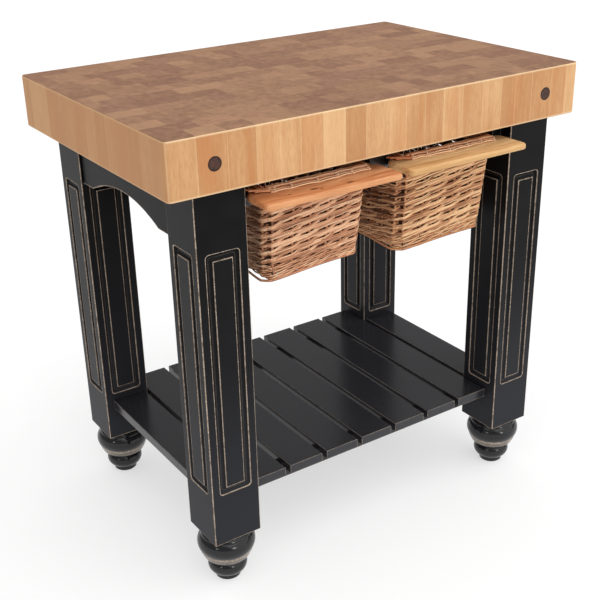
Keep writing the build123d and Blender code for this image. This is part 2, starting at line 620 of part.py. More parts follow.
def rod_row(start, end, across, count):
    """Willow rods lying side by side on the rim, each overlapping the next a little."""
    run = Vector(*end) - Vector(*start)
    direction = TOWARDS_PLUS_X if abs(run.X) > abs(run.Y) else TOWARDS_PLUS_Y
    middle = Vector(*start) + run / 2
    for number in range(count):
        centre = middle + across * (number * ROD_SPACING)
        centred_pin(centre, direction, ROD_RADIUS, run.length / 2)


for side_name, side in SIDES.items():
    cx = side * BASKET_X
    prefix = f"basket_{side_name}"
    floor = BASKET_FLOORS[side_name]
    board_dowels = [(cx + hand * RIM_RAIL_MIDDLE, BOARD_BACK, RIM_DOWEL_Z) for hand in (-1, 1)]
    back_dowels = [(cx + hand * RIM_INNER, BACK_RAIL_Y, RIM_DOWEL_Z) for hand in (-1, 1)]

    with BuildPart() as board:
        board_middle = (cx, (BOARD_FRONT + BOARD_BACK) / 2)
        with BuildSketch(Plane.XY.offset(BOARD_BOTTOM)) as board_outline:
            with Locations(board_middle):
                Rectangle(BOARD_WIDTH, BOARD_BACK - BOARD_FRONT)
            corners = board_outline.vertices().sort_by(Axis.Y)
            fillet(corners[:2], BOARD_FRONT_CORNER)
            fillet(board_outline.vertices().sort_by(Axis.Y)[-2:], BOARD_BACK_CORNER)
        extrude(amount=BOARD_THICKNESS)
        fillet(board.faces().sort_by(Axis.Z)[-1].edges(), BOARD_EDGE_RADIUS)
        fillet(board.faces().sort_by(Axis.Z)[0].edges(), BOARD_EDGE_RADIUS)
        for position in board_dowels:
            centred_bore(position, TOWARDS_PLUS_Y, RIM_DOWEL_RADIUS, RIM_DOWEL_HALF_LENGTH)
    save(board, f"{prefix}_board")

    for hand_name, hand in (("left", -1), ("right", 1)):
        with BuildPart() as rim_rail:
            edges = sorted((cx + hand * RIM_INNER, cx + hand * RIM_HALF_WIDTH))
            bar(tuple(edges), (BOARD_BACK, RIM_BACK), (BOARD_BOTTOM, BOARD_TOP))
            for position in board_dowels:
                centred_bore(position, TOWARDS_PLUS_Y, RIM_DOWEL_RADIUS, RIM_DOWEL_HALF_LENGTH)
            for position in back_dowels:
                centred_bore(position, TOWARDS_PLUS_X, RIM_DOWEL_RADIUS, RIM_DOWEL_HALF_LENGTH)
        save(rim_rail, f"{prefix}_rail_{hand_name}")

    with BuildPart() as back_rail:
        width = (cx - RIM_INNER, cx + RIM_INNER)
        bar(width, (BACK_RAIL_FRONT, RIM_BACK), (BOARD_BOTTOM, BOARD_TOP))
        for position in back_dowels:
            centred_bore(position, TOWARDS_PLUS_X, RIM_DOWEL_RADIUS, RIM_DOWEL_HALF_LENGTH)
    save(back_rail, f"{prefix}_rail_back")

    with BuildPart() as rim_dowels:
        for position in board_dowels:
            centred_pin(position, TOWARDS_PLUS_Y, RIM_DOWEL_RADIUS, RIM_DOWEL_HALF_LENGTH)
        for position in back_dowels:
            centred_pin(position, TOWARDS_PLUS_X, RIM_DOWEL_RADIUS, RIM_DOWEL_HALF_LENGTH)
    save(rim_dowels, f"{prefix}_dowels")

    woven_middle = (cx + WOVEN_SHIFTS[side_name], WOVEN_CENTRE_Y)
    top_size, bottom_size = WOVEN_TOP_SIZES[side_name], WOVEN_BOTTOM_SIZES[side_name]
    with BuildPart() as woven:
        with BuildSketch(Plane.XY.offset(floor)):
            with Locations(woven_middle):
                RectangleRounded(*bottom_size, WOVEN_CORNER)
        with BuildSketch(Plane.XY.offset(BOARD_BOTTOM)):
            with Locations(woven_middle):
                RectangleRounded(*top_size, WOVEN_CORNER)
        loft()
        with BuildSketch(Plane.XY.offset(floor + WOVEN_WALL)):
            with Locations(woven_middle):
                inner = [size - 2 * WOVEN_WALL for size in bottom_size]
                RectangleRounded(*inner, WOVEN_CORNER - WOVEN_WALL)
        with BuildSketch(Plane.XY.offset(BOARD_BOTTOM)):
            with Locations(woven_middle):
                inner = [size - 2 * WOVEN_WALL for size in top_size]
                RectangleRounded(*inner, WOVEN_CORNER - WOVEN_WALL)
        loft(mode=Mode.SUBTRACT)
    save(woven, f"{prefix}_woven_body")

    with BuildPart() as border:
        lower = BOARD_TOP + ROD_RADIUS
        upper = lower + ROD_LAYER_RISE
        backward = Vector(0, 1, 0)
        rows_across = (
            (LOWER_BUNDLE_Y, lower, LOWER_BUNDLE_HALF_LENGTH, LOWER_BUNDLE_RODS),
            (UPPER_BUNDLE_Y, upper, UPPER_BUNDLE_HALF_LENGTH, UPPER_BUNDLE_RODS),
            (BACK_BORDER_Y, lower, BACK_BORDER_HALF_LENGTH, EDGE_BORDER_RODS),
        )
        for y, height, half, count in rows_across:
            rod_row((cx - half, y, height), (cx + half, y, height), backward, count)
        for hand in (-1, 1):
            x = cx + hand * SIDE_BORDER_OFFSET
            inward = Vector(-hand, 0, 0)
            front = (x, SIDE_BORDER_FRONT, lower)
            back = (x, SIDE_BORDER_BACK, lower)
            rod_row(front, back, inward, EDGE_BORDER_RODS)
    save(border, f"{prefix}_border")
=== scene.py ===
import math

import bpy
import numpy as np
from mathutils import Matrix, Vector


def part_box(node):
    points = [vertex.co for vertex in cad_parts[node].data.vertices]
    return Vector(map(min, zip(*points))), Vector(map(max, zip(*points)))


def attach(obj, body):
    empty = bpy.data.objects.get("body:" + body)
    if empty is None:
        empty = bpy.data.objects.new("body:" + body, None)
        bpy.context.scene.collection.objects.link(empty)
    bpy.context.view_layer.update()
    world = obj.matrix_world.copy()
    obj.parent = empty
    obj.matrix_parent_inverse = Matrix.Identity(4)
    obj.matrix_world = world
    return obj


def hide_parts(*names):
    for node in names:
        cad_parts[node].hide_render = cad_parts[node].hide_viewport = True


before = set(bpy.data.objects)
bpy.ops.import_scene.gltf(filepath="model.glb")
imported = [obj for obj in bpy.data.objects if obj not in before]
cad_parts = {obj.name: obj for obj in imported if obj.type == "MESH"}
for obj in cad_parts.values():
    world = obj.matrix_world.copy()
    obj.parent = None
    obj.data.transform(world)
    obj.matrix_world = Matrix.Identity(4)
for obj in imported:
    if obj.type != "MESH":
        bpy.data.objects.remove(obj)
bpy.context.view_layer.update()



def box_of(node):
    """Low and high corner of a CAD node's box."""
    return [Vector(corner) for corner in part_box(node)]


def new_object(name, data):
    """Object with the given data, put in the scene."""
    item = bpy.data.objects.new(name, data)
    bpy.context.scene.collection.objects.link(item)
    return item


BLOCK_LOW, BLOCK_HIGH = box_of("block_top")
MIDDLE_Y = (BLOCK_LOW.y + BLOCK_HIGH.y) / 2


# ---- shader helpers


def srgb(code):
    """Linear colour of a hex colour code."""
    parts = [int(code[i : i + 2], 16) / 255 for i in (0, 2, 4)]
    linear = [c / 12.92 if c <= 0.04045 else ((c + 0.055) / 1.055) ** 2.4 for c in parts]
    return (*linear, 1.0)


def math_node(name):
    """Method of Value that puts a math node on it and on the numbers given."""
    return lambda value, *others: value.shader.math(name, value, *others)


class Value:
    """One number in a node tree, which can be used in ordinary arithmetic."""

    __add__ = math_node("ADD")
    __radd__ = __add__
    __sub__ = math_node("SUBTRACT")
    __mul__ = math_node("MULTIPLY")
    __rmul__ = __mul__
    __abs__ = math_node("ABSOLUTE")
    floor = math_node("FLOOR")
    sqrt = math_node("SQRT")
    sine = math_node("SINE")
    least = math_node("MINIMUM")
    most = math_node("MAXIMUM")
    below = math_node("LESS_THAN")
    above = math_node("GREATER_THAN")

    def __init__(self, shader, socket):
        self.shader = shader
        self.socket = socket

    def __rsub__(self, other):
        return self.shader.math("SUBTRACT", other, self)

    def step(self, low, high, start=0.0, end=1.0):
        """Smooth change from start to end as the value goes from low to high."""
        node = self.shader.add("ShaderNodeMapRange", interpolation_type="SMOOTHSTEP")
        for socket, value in zip(node.inputs, (self, low, high, start, end)):
            self.shader.put(value, socket)
        return Value(self.shader, node.outputs[0])


# Sockets of a Mix node that mixes colours
MIX_FACTOR = 0
MIX_FIRST = 6
MIX_SECOND = 7
MIX_RESULT = 2


class Shader:
    """A procedural Principled material in the coordinates of its own piece."""

    def __init__(self, name, roughness=0.5, specular=0.5):
        self.material = bpy.data.materials.new(name)
        self.material.use_nodes = True
        self.tree = self.material.node_tree
        self.tree.nodes.clear()
        self.surface = self.add("ShaderNodeBsdfPrincipled")
        self.surface.inputs["Roughness"].default_value = roughness
        self.surface.inputs["Specular IOR Level"].default_value = specular
        output = self.add("ShaderNodeOutputMaterial")
        self.tree.links.new(self.surface.outputs[0], output.inputs[0])
        self.place = self.add("ShaderNodeTexCoord").outputs["Object"]
        self.x, self.y, self.z = self.split(self.place)

    def add(self, kind, **settings):
        node = self.tree.nodes.new(kind)
        for name, value in settings.items():
            setattr(node, name, value)
        return node

    def put(self, value, socket):
        """Feed a socket from a value, another socket, or a plain number or colour."""
        if isinstance(value, Value):
            value = value.socket
        if isinstance(value, bpy.types.NodeSocket):
            self.tree.links.new(value, socket)
        else:
            socket.default_value = value

    def math(self, operation, *values):
        node = self.add("ShaderNodeMath", operation=operation)
        for value, socket in zip(values, node.inputs):
            self.put(value, socket)
        return Value(self, node.outputs[0])

    def split(self, vector):
        node = self.add("ShaderNodeSeparateXYZ")
        self.put(vector, node.inputs[0])
        return [Value(self, socket) for socket in node.outputs]

    def vector(self, x, y, z):
        node = self.add("ShaderNodeCombineXYZ")
        for value, socket in zip((x, y, z), node.inputs):
            self.put(value, socket)
        return node.outputs[0]

    def noise(self, vector, scale=1.0, detail=3.0, roughness=0.5, distortion=0.0):
        node = self.add("ShaderNodeTexNoise")
        self.put(vector, node.inputs["Vector"])
        node.inputs["Scale"].default_value = scale
        node.inputs["Detail"].default_value = detail
        node.inputs["Roughness"].default_value = roughness
        node.inputs["Distortion"].default_value = distortion
        return Value(self, node.outputs[0])

    def random(self, x, y, z=0.0):
        """One random number for each triple of whole numbers. Some triples only tell draws apart."""
        node = self.add("ShaderNodeTexWhiteNoise", noise_dimensions="3D")
        self.put(self.vector(x, y, z), node.inputs["Vector"])
        return Value(self, node.outputs["Value"])

    def attribute(self, name):
        return self.add("ShaderNodeAttribute", attribute_name=name)

    def mix(self, factor, first, second):
        node = self.add("ShaderNodeMix", data_type="RGBA")
        self.put(factor, node.inputs[MIX_FACTOR])
        self.put(first, node.inputs[MIX_FIRST])
        self.put(second, node.inputs[MIX_SECOND])
        return node.outputs[MIX_RESULT]

    def colour(self, socket):
        self.put(socket, self.surface.inputs["Base Color"])

    def roughness(self, value):
        self.put(value, self.surface.inputs["Roughness"])

    def bump(self, height, distance, strength=1.0):
        node = self.add("ShaderNodeBump")
        self.put(height, node.inputs["Height"])
        node.inputs["Distance"].default_value = distance
        node.inputs["Strength"].default_value = strength
        self.put(node.outputs[0], self.surface.inputs["Normal"])

    def normal(self, smooth=False):
        output = "Normal" if smooth else "True Normal"
        return self.split(self.add("ShaderNodeNewGeometry").outputs[output])


# ---- materials


# End grain and long grain of the block
END_DARK = srgb("7a5540")
END_LIGHT = srgb("b38868")
END_PURPLE = srgb("80594a")
END_PALE = srgb("b48d68")
LONG_DARK = srgb("b98456")
LONG_LIGHT = srgb("e0b584")
LONG_HEART = srgb("c07b48")
LONG_PALE = srgb("f6dcb2")

# Staves: jitter and shift are shares of a stave, and the inset keeps the faces off the cell edges
STAVE_WIDTH = 0.0457
STAVE_ROWS = 14
STAVE_JITTER = 0.5
ROW_SHIFT = 0.9
EDGE_INSET = 0.0004
PAIRED_SHARE = 0.5
RING_CENTRE_SPREAD = 0.2
FIRST_FRONT_CELL = 50.0

# Glue joints of the front row of staves, by their x
FRONT_JOINTS = (
    -0.4020, -0.3450, -0.2910, -0.2450, -0.2040, -0.1575, -0.1120, -0.0670, -0.0140, 0.0220,
    0.0660, 0.1090, 0.1550, 0.2050, 0.2520, 0.2885, 0.3320, 0.3850, 0.4245,
)  # fmt: skip


def front_stave(s):
    """Number of the stave in the front row, and the distance to its nearest glue joint."""
    cell = FIRST_FRONT_CELL
    gap = None
    for joint in FRONT_JOINTS:
        cell = s.x.above(joint) + cell
        distance = abs(s.x - joint)
        gap = distance if gap is None else gap.least(distance)
    return cell, gap


def block_staves(s):
    """Row, stave and block of staves at a place, and the distances to the nearest glue joints."""
    size = BLOCK_HIGH - BLOCK_LOW
    x = (s.x - BLOCK_LOW.x).most(EDGE_INSET).least(size.x - EDGE_INSET)
    y = (s.y - BLOCK_LOW.y).most(EDGE_INSET).least(size.y - EDGE_INSET)
    row_place = y * (STAVE_ROWS / size.y)
    row = row_place.floor()
    stave_place = x * (1 / STAVE_WIDTH) + s.random(row, 3.0) * ROW_SHIFT
    number = stave_place.floor()
    left = number + (s.random(number, row) - 0.5) * STAVE_JITTER
    right = number + 1 + (s.random(number + 1, row) - 0.5) * STAVE_JITTER
    cell = number - stave_place.below(left) + stave_place.above(right)
    gap = abs(stave_place - left).least(abs(stave_place - right)) * STAVE_WIDTH
    is_front = row.below(0.5)
    front_cell, front_gap = front_stave(s)
    cell = cell + (front_cell - cell) * is_front
    gap = gap + (front_gap - gap) * is_front

    # Some neighbouring staves are cut from one piece and share their end grain
    pair = (cell * 0.5).floor()
    joined = s.random(pair, row, 7.0).below(PAIRED_SHARE) * (1 - is_front)
    block = cell + (pair * 2 + 0.5 - cell) * joined
    row_gap = abs(row_place - (row_place + 0.5).floor()) * STAVE_WIDTH
    return row, cell, block, gap, row_gap


def end_grain(s, row, block, seam, cloud, pores):
    """Colour of the end grain: arcs of growth rings, clouds and fine pores."""
    tone = s.random(block, row, 1.0)
    tint = s.random(block, row, 2.0)
    ring_x = s.x - (s.random(block, row, 8.0) - 0.5) * RING_CENTRE_SPREAD
    ring_y = s.y - (s.random(block, row, 9.0) - 0.5) * RING_CENTRE_SPREAD
    radius = (ring_x * ring_x + ring_y * ring_y).sqrt()
    rings = (radius * 1500.0 + s.noise(s.place, 60.0) * 5.0).sine()
    specks = s.noise(s.place, 1100.0, 1.0, 0.5)
    shade = tone * 0.3 + (cloud - 0.5) * 1.05 + 0.35 + rings * 0.09
    shade = shade + (pores - 0.5) * 0.9 + (specks - 0.5) * 0.5
    colour = s.mix(shade.step(0.0, 1.0), END_DARK, END_LIGHT)
    colour = s.mix(tint.step(0.75, 0.95) * 0.3, colour, END_PURPLE)
    colour = s.mix(tint.step(0.28, 0.05) * 0.3, colour, END_PALE)
    return s.mix(seam.step(0.0002, 0.0009, 0.16, 0.0), colour, END_DARK)


def long_grain(s, row, cell, gap, streaks, streak_place, stave_tone):
    """Colour of the long grain: upright streaks that differ from stave to stave."""
    stave_tint = s.random(cell, row, 5.0)
    fine = s.noise(streak_place, 800.0, 2.0, 0.6)
    soft = s.noise(s.vector(s.x, s.y, s.z * 0.3), 22.0, 2.0, 0.5)
    flecks = s.noise(s.vector(s.x, s.y, s.z * 0.2), 330.0, 2.0, 0.7)
    shade = stave_tone * 0.62 - 0.10 + (streaks - 0.5) * 0.5 + (fine - 0.5) * 0.3 + soft * 0.55
    shade = shade + (flecks - 0.5) * 0.45
    colour = s.mix(shade.step(0.0, 1.0), LONG_DARK, LONG_LIGHT)
    heart = s.noise(s.vector(s.x, s.y, s.z * 0.12), 40.0, 2.0, 0.5, 0.4) + stave_tint * 0.3
    colour = s.mix(heart.step(0.62, 0.9) * 0.4, colour, LONG_HEART)
    joint = gap.step(0.0003, 0.0013, 1.0, 0.0)
    colour = s.mix(joint * 0.22, colour, LONG_PALE)
    # Pale line along every edge of the long-grain faces: a painted highlight
    rim = box_edges(s, BLOCK_LOW, BLOCK_HIGH)
    return s.mix(rim.step(0.001, 0.0052, 0.72, 0.0), colour, LONG_PALE)


def maple_block():
    """Maple staves standing on end and glued in rows: end grain on top, long grain on the sides."""
    s = Shader("maple_block", specular=0.2)
    row, cell, block, gap, row_gap = block_staves(s)
    cloud = s.noise(s.place, 60.0, 5.0, 0.65)
    pores = s.noise(s.place, 420.0, 3.0, 0.8)
    end_colour = end_grain(s, row, block, gap.least(row_gap), cloud, pores)

    stave_tone = s.random(cell, row, 4.0)
    streak_place = s.vector(s.x + stave_tone * 3, s.y, s.z * 0.055)
    streaks = s.noise(streak_place, 130.0, 4.0, 0.6, 0.6)
    long_colour = long_grain(s, row, cell, gap, streaks, streak_place, stave_tone)

    # The two ends of the block are painted a little darker than its front and back: painted shade
    facing = s.normal()
    long_colour = s.mix(abs(facing[0]).step(0.5, 0.9) * 0.62, long_colour, LONG_DARK)
    is_top = abs(facing[2]).step(0.45, 0.8)
    s.colour(s.mix(is_top, long_colour, end_colour))
    s.roughness(0.46 + cloud * 0.14)
    s.bump(pores * is_top + streaks * 0.5, 0.0002, 0.5)
    return s.material


# Plain wood: its stretch along the grain, and its knots, which are long that way too
KNOT = srgb("461c0a")
KNOT_STRENGTH = 0.95
KNOT_STRETCH = 0.4
KNOT_SWIRL = 0.012
GRAIN_STRETCH = 0.07
FRONT_EDGE_STRENGTH = 0.5


def grain_wood(name, dark, light, along, knots=(), roughness=0.45, front=None, place_shift=0.0):
    """Plain wood with its grain along an axis. Knots are places on the plan with their sizes.

    front gives the y of a front edge and the colour that the wood fades to there.
    """
    s = Shader(name, specular=0.4)
    stretch = [1.0, 1.0, 1.0]
    stretch[along] = GRAIN_STRETCH
    knot_stretch = [1.0, 1.0]
    knot_stretch[along] = KNOT_STRETCH
    swirl = 0.0
    knot_shade = None
    for (knot_x, knot_y), size in knots:
        dx = (s.x - knot_x) * knot_stretch[0]
        dy = (s.y - knot_y) * knot_stretch[1]
        distance = (dx * dx + dy * dy).sqrt()
        swirl = distance.step(0.0, size * 5, 1.0, 0.0) * KNOT_SWIRL + swirl
        rough = s.noise(s.place, 300.0, 2.0) * size * 0.5
        spot = (distance + rough).step(size * 0.4, size, 1.0, 0.0)
        knot_shade = spot if knot_shade is None else knot_shade.most(spot)
    place = s.vector(s.x * stretch[0] + place_shift, s.y * stretch[1] + swirl, s.z * stretch[2])
    bands = s.noise(place, 130.0, 4.0, 0.55, 0.5)
    fine = s.noise(place, 800.0, 2.0, 0.6)
    broad = s.noise(place, 26.0, 2.0, 0.5)
    tone = 0.5 + (bands - 0.5) * 1.5 + (fine - 0.5) * 0.5 + (broad - 0.5) * 1.4
    colour = s.mix(tone.step(0.0, 1.0), srgb(dark), srgb(light))
    if front is not None:
        edge, edge_tone = front
        fade = s.y.step(edge + 0.001, edge + 0.006, FRONT_EDGE_STRENGTH, 0.0)
        colour = s.mix(fade, colour, srgb(edge_tone))
    if knot_shade is not None:
        colour = s.mix(knot_shade * KNOT_STRENGTH, colour, KNOT)
    s.colour(colour)
    s.roughness(roughness + bands * 0.1)
    s.bump(bands + fine * 0.5, 0.00015, 0.4)
    return s.material


# Black paint, its mottling, a painted reflection of the pale floor that makes it lighter low down, and
# the wood where it is rubbed through
PAINT = srgb("0a0a0c")
PAINT_WORN = srgb("111113")
PAINT_FLOOR_SHEEN = srgb("34353a")
RUBBED = srgb("d2c0ae")
RUBBED_DARK = srgb("8f7c6b")
FLOOR_SHEEN_LOW = 0.1
FLOOR_SHEEN_HIGH = 0.65


def finish_paint(s, line, strength=1.0, gloss=0.34, floor_sheen=0.6, relief=0.5):
    """Satin black paint, rubbed through to the wood where line is near 1; the same wood colour also
    paints the highlights that some callers put in line. Low down the paint is painted lighter, a
    painted reflection of the pale floor.
    """
    patches = s.noise(s.place, 55.0, 3.0, 0.6)
    fine = s.noise(s.place, 420.0, 2.0, 0.6)
    wear_and_highlight = line * patches.step(0.32, 0.52, 0.5, 0.9) * strength
    mottling = s.noise(s.place, 9.0, 4.0, 0.6)
    paint = s.mix(mottling.step(0.35, 0.7), PAINT, PAINT_WORN)
    # Painted reflection: the paint is painted lighter low down, as if lit by the pale floor
    paint = s.mix(s.z.step(FLOOR_SHEEN_LOW, FLOOR_SHEEN_HIGH, floor_sheen, 0.0), paint, PAINT_FLOOR_SHEEN)
    wood = s.mix(fine.step(0.35, 0.65), RUBBED_DARK, RUBBED)
    s.colour(s.mix(wear_and_highlight, paint, wood))
    s.roughness(gloss + fine * 0.12 + wear_and_highlight * 0.3)
    s.bump(fine * 0.4 - wear_and_highlight, 0.00025, relief)
    return s.material


def box_edges(s, low, high):
    """Distance to the nearest edge of a box, for a point on its surface."""
    gaps = [
        (high[i] - low[i]) / 2 - abs(axis - (high[i] + low[i]) / 2)
        for i, axis in enumerate((s.x, s.y, s.z))
    ]
    most = gaps[0].most(gaps[1]).most(gaps[2])
    least = gaps[0].least(gaps[1]).least(gaps[2])
    return gaps[0] + gaps[1] + gaps[2] - most - least


# Width of the rubbed line along an edge
EDGE_WEAR = 0.0010


def painted_box(name, low, high):
    """Slats, shelf rails and runners: glossier paint, lightly rubbed along every edge."""
    s = Shader(name, specular=0.44)
    wobble = s.noise(s.place, 30.0, 2.0) * EDGE_WEAR
    line = box_edges(s, low, high).step(EDGE_WEAR * 0.4 + wobble * 0.4, EDGE_WEAR + wobble, 1.0, 0.0)
    return finish_paint(s, line, strength=0.36, gloss=0.16)


# Routed frame of the legs: half width, half height and corner radius of its two edges
FRAME_MIDDLE = 0.463
FRAME_OUTER = (0.0331, 0.2393, 0.0068)
FRAME_INNER = (0.0194, 0.2257, 0.0)


def leg_paint():
    """Legs: rubbed along their corners and along both edges of the routed frame, with a faint
    highlight painted along the middle of the groove.
    """
    s = Shader("leg_paint", specular=0.10)
    low, high = box_of("leg_front_left")
    centre = (low + high) / 2
    half = (high.x - low.x) / 2
    dx = abs(abs(s.x) - abs(centre.x))
    dy = abs(abs(s.y - MIDDLE_Y) - abs(centre.y - MIDDLE_Y))
    across = dx.least(dy)
    up = s.z - FRAME_MIDDLE
    wobble = (s.noise(s.place, 45.0, 3.0) - 0.5) * 0.0012
    corner = (across + wobble).step(half - 0.0020, half - 0.0011)
    foot = (s.z + wobble).step(low.z + 0.0008, low.z + 0.0018, 1.0, 0.0)
    outer = rounded_box_distance(across, up, *FRAME_OUTER)
    inner = rounded_box_distance(across, up, *FRAME_INNER)
    outer_line = (abs(outer - 0.0003) + wobble * 0.5).step(0.0005, 0.0010, 1.0, 0.0)
    inner_line = (abs(inner + 0.0003) + wobble * 0.5).step(0.0005, 0.0009, 1.0, 0.0)
    # Painted highlight: a faint pale line along the middle of the groove, laid in with the rubbed
    # lines
    groove_highlight = abs((outer + inner) * 0.5).step(0.0, 0.0022, 0.25, 0.0)
    line = corner.most(foot).most(outer_line).most(inner_line * 0.95).most(groove_highlight * 0.3)
    return finish_paint(s, line)


def rounded_box_distance(u, v, half_u, half_v, radius):
    """Signed distance to a rectangle with rounded corners, centred on u = v = 0, for u above 0."""
    du = u - (half_u - radius)
    dv = abs(v) - (half_v - radius)
    over_u = du.most(0.0)
    over_v = dv.most(0.0)
    return (over_u * over_u + over_v * over_v).sqrt() + du.most(dv).least(0.0) - radius


# Arch of the aprons: it starts this far from each end and rises this much
ARCH_SHOULDER = 0.045
ARCH_RISE = 0.031


def apron_paint(name, node, axis):
    """Aprons: rubbed along the lower edge, shoulders and arch alike."""
    s = Shader(name, specular=0.08)
    low, high = box_of(node)
    centre = (low + high) / 2
    u = abs((s.x if axis == 0 else s.y) - centre[axis])
    half = (high[axis] - low[axis]) / 2 - ARCH_SHOULDER
    radius = (half * half + ARCH_RISE * ARCH_RISE) / (2 * ARCH_RISE)
    dz = s.z - (low.z + ARCH_RISE - radius)
    from_arch = (u * u + dz * dz).sqrt() - radius
    from_shoulder = s.z - low.z
    distance = from_shoulder + (from_arch - from_shoulder) * u.below(half)
    wobble = (s.noise(s.place, 40.0, 3.0) - 0.5) * 0.001
    line = (distance + wobble).step(0.0007, 0.0016, 1.0, 0.0)
    return finish_paint(s, line)


# Heights on the turned feet: the rubbed edge of the ring, the flare under it, and the top edge of the
# pad, where a highlight is painted
RING_EDGE_LOW = 0.0636
RING_EDGE_HIGH = 0.0690
FLARE_LOW = 0.0525
PAD_HEIGHT = 0.0125


def foot_paint():
    """Feet: polished, with the edge and the flare of the ring rubbed through, and a highlight painted
    along the top edge of the pad.
    """
    s = Shader("foot_paint", specular=0.42)
    wobble = (s.noise(s.place, 50.0, 3.0) - 0.5) * 0.0014
    height = s.z + wobble
    edge = height.step(RING_EDGE_LOW, RING_EDGE_LOW + 0.0012)
    edge = edge * height.step(RING_EDGE_HIGH, RING_EDGE_HIGH + 0.0014, 1.0, 0.0) * 0.8
    flare = height.step(FLARE_LOW, FLARE_LOW + 0.0020)
    flare = flare * height.step(RING_EDGE_LOW, RING_EDGE_LOW + 0.0024, 0.36, 0.0)
    # Painted highlight: a pale line along the top edge of the pad, laid in with the rubbed lines
    pad = abs(height - PAD_HEIGHT).step(0.0005, 0.0010, 1.0, 0.0) * 0.6
    line = edge.most(flare).most(pad)
    return finish_paint(s, line, gloss=0.07, floor_sheen=0.15, relief=0.08)


def steel(name, dark, light):
    """Turned steel with fine scratches."""
    s = Shader(name, roughness=0.35)
    s.surface.inputs["Metallic"].default_value = 1.0
    scratches = s.noise(s.vector(s.x * 4, s.y, s.z), 400.0, 2.0)
    s.colour(s.mix(scratches, srgb(dark), srgb(light)))
    return s.material


def willow(name, dark, mid, light):
    """Split and whole willow rods with fine streaks along each rod, and painted shade on their
    undersides.
    """
    s = Shader(name, specular=0.25)
    grain = s.attribute("grain").outputs["Vector"]
    tone = Value(s, s.attribute("tone").outputs["Fac"])
    along, across, height = s.split(grain)
    streaks = s.noise(s.vector(along * 8.0, across, height), 1.9, 3.0, 0.65)
    fibre = s.noise(s.vector(along * 16.0, across * 4, height * 4), 1.6, 2.0, 0.6)
    patch = s.noise(s.vector(along * 22.0, tone * 9, 0.0), 1.0, 2.0, 0.5)
    shade = tone * 0.6 + 0.25 + (streaks - 0.5) * 1.0 + (fibre - 0.5) * 0.4 + patch * 0.35
    # Painted shade: the undersides of the rods are painted darker
    shade = shade - s.normal(smooth=True)[2].step(0.1, -0.7) * 0.4
    lower = s.mix(shade.step(0.0, 0.5), srgb(dark), srgb(mid))
    s.colour(s.mix(shade.step(0.45, 1.0), lower, srgb(light)))
    s.roughness(0.55 + streaks * 0.15)
    s.bump(streaks + fibre * 0.5, 0.0003, 0.6)
    return s.material


# Centres of the plugs, on both sides of the middle, and where their dark rim begins and ends
PLUG_X = 0.3700
PLUG_Z = 0.8636
PLUG_RIM_START = 0.0095
PLUG_RIM_END = 0.0120


def walnut():
    """Dark wood of the plugs, darker still round their rims."""
    s = Shader("walnut_plug", roughness=0.4, specular=0.3)
    flecks = s.noise(s.vector(s.x * 0.5, s.y, s.z), 500.0, 3.0, 0.6)
    cloud = s.noise(s.place, 120.0)
    across = abs(s.x) - PLUG_X
    height = s.z - PLUG_Z
    from_middle = (across * across + height * height).sqrt()
    shade = flecks * 0.8 + cloud * 0.3 - from_middle.step(PLUG_RIM_START, PLUG_RIM_END) * 0.6
    s.colour(s.mix(shade.step(0.25, 0.8), srgb("25130d"), srgb("563528")))
    s.bump(flecks, 0.0002, 0.5)
    return s.material


def dress(node, material):
    """Give a CAD node its finished material."""
    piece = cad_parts[node]
    if not piece.material_slots:
        piece.data.materials.append(None)
    for slot in piece.material_slots:
        slot.material = material


legs = leg_paint()
feet = foot_paint()
bright_steel = steel("steel", "8d8e90", "b9babc")
black_steel = steel("black_steel", "2a2a2c", "444547")
plain_maple = grain_wood("plain_wood", "a9814f", "d3ae7c", along=0)
dowel_wood = grain_wood("dowel_wood", "b58d5a", "dcba88", along=1)

dress("block_top", maple_block())
dress("tie_rod_plugs", walnut())
for end in ("front", "back"):
    for side in ("left", "right"):
        dress(f"leg_{end}_{side}", legs)
        dress(f"foot_{end}_{side}", feet)
dress("apron_left", apron_paint("apron_side_paint", "apron_left", axis=1))
dress("apron_right", apron_paint("apron_right_paint", "apron_right", axis=1))
dress("apron_back", apron_paint("apron_back_paint", "apron_back", axis=0))

painted = [f"slat_{number}" for number in range(1, 10)]
painted += [f"shelf_rail_{place}" for place in ("front", "back", "left", "right")]
painted += [f"{kind}_{place}" for kind in ("hanger", "ledge") for place in ("left", "centre", "right")]
for node in painted:
    dress(node, painted_box(f"{node}_paint", *box_of(node)))
for node in ("cleat_left", "cleat_right", "cleat_back"):
    dress(node, plain_maple)
for node in ("tie_rods", "tie_rod_washers", "tie_rod_nuts", "foot_studs"):
    dress(node, bright_steel)
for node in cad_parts:
    if node == "runner_bolts":
        dress(node, black_steel)
    elif node.endswith(("_bolts", "_screws")):
        dress(node, bright_steel)
    elif node.endswith("_dowels"):
        dress(node, dowel_wood)


# ---- woven baskets


# Directions that a rod's cross-section is laid out from, and the shift of grain with its tone
LEVEL_REFERENCE = np.array([0.0, 0.0, 1.0])
UPRIGHT_REFERENCE = np.array([1.0, 0.3, 0.0])
GRAIN_SHIFT = 17


def unit(vectors):
    """Rows scaled to length 1."""
    return vectors / np.linalg.norm(vectors, axis=1)[:, None]


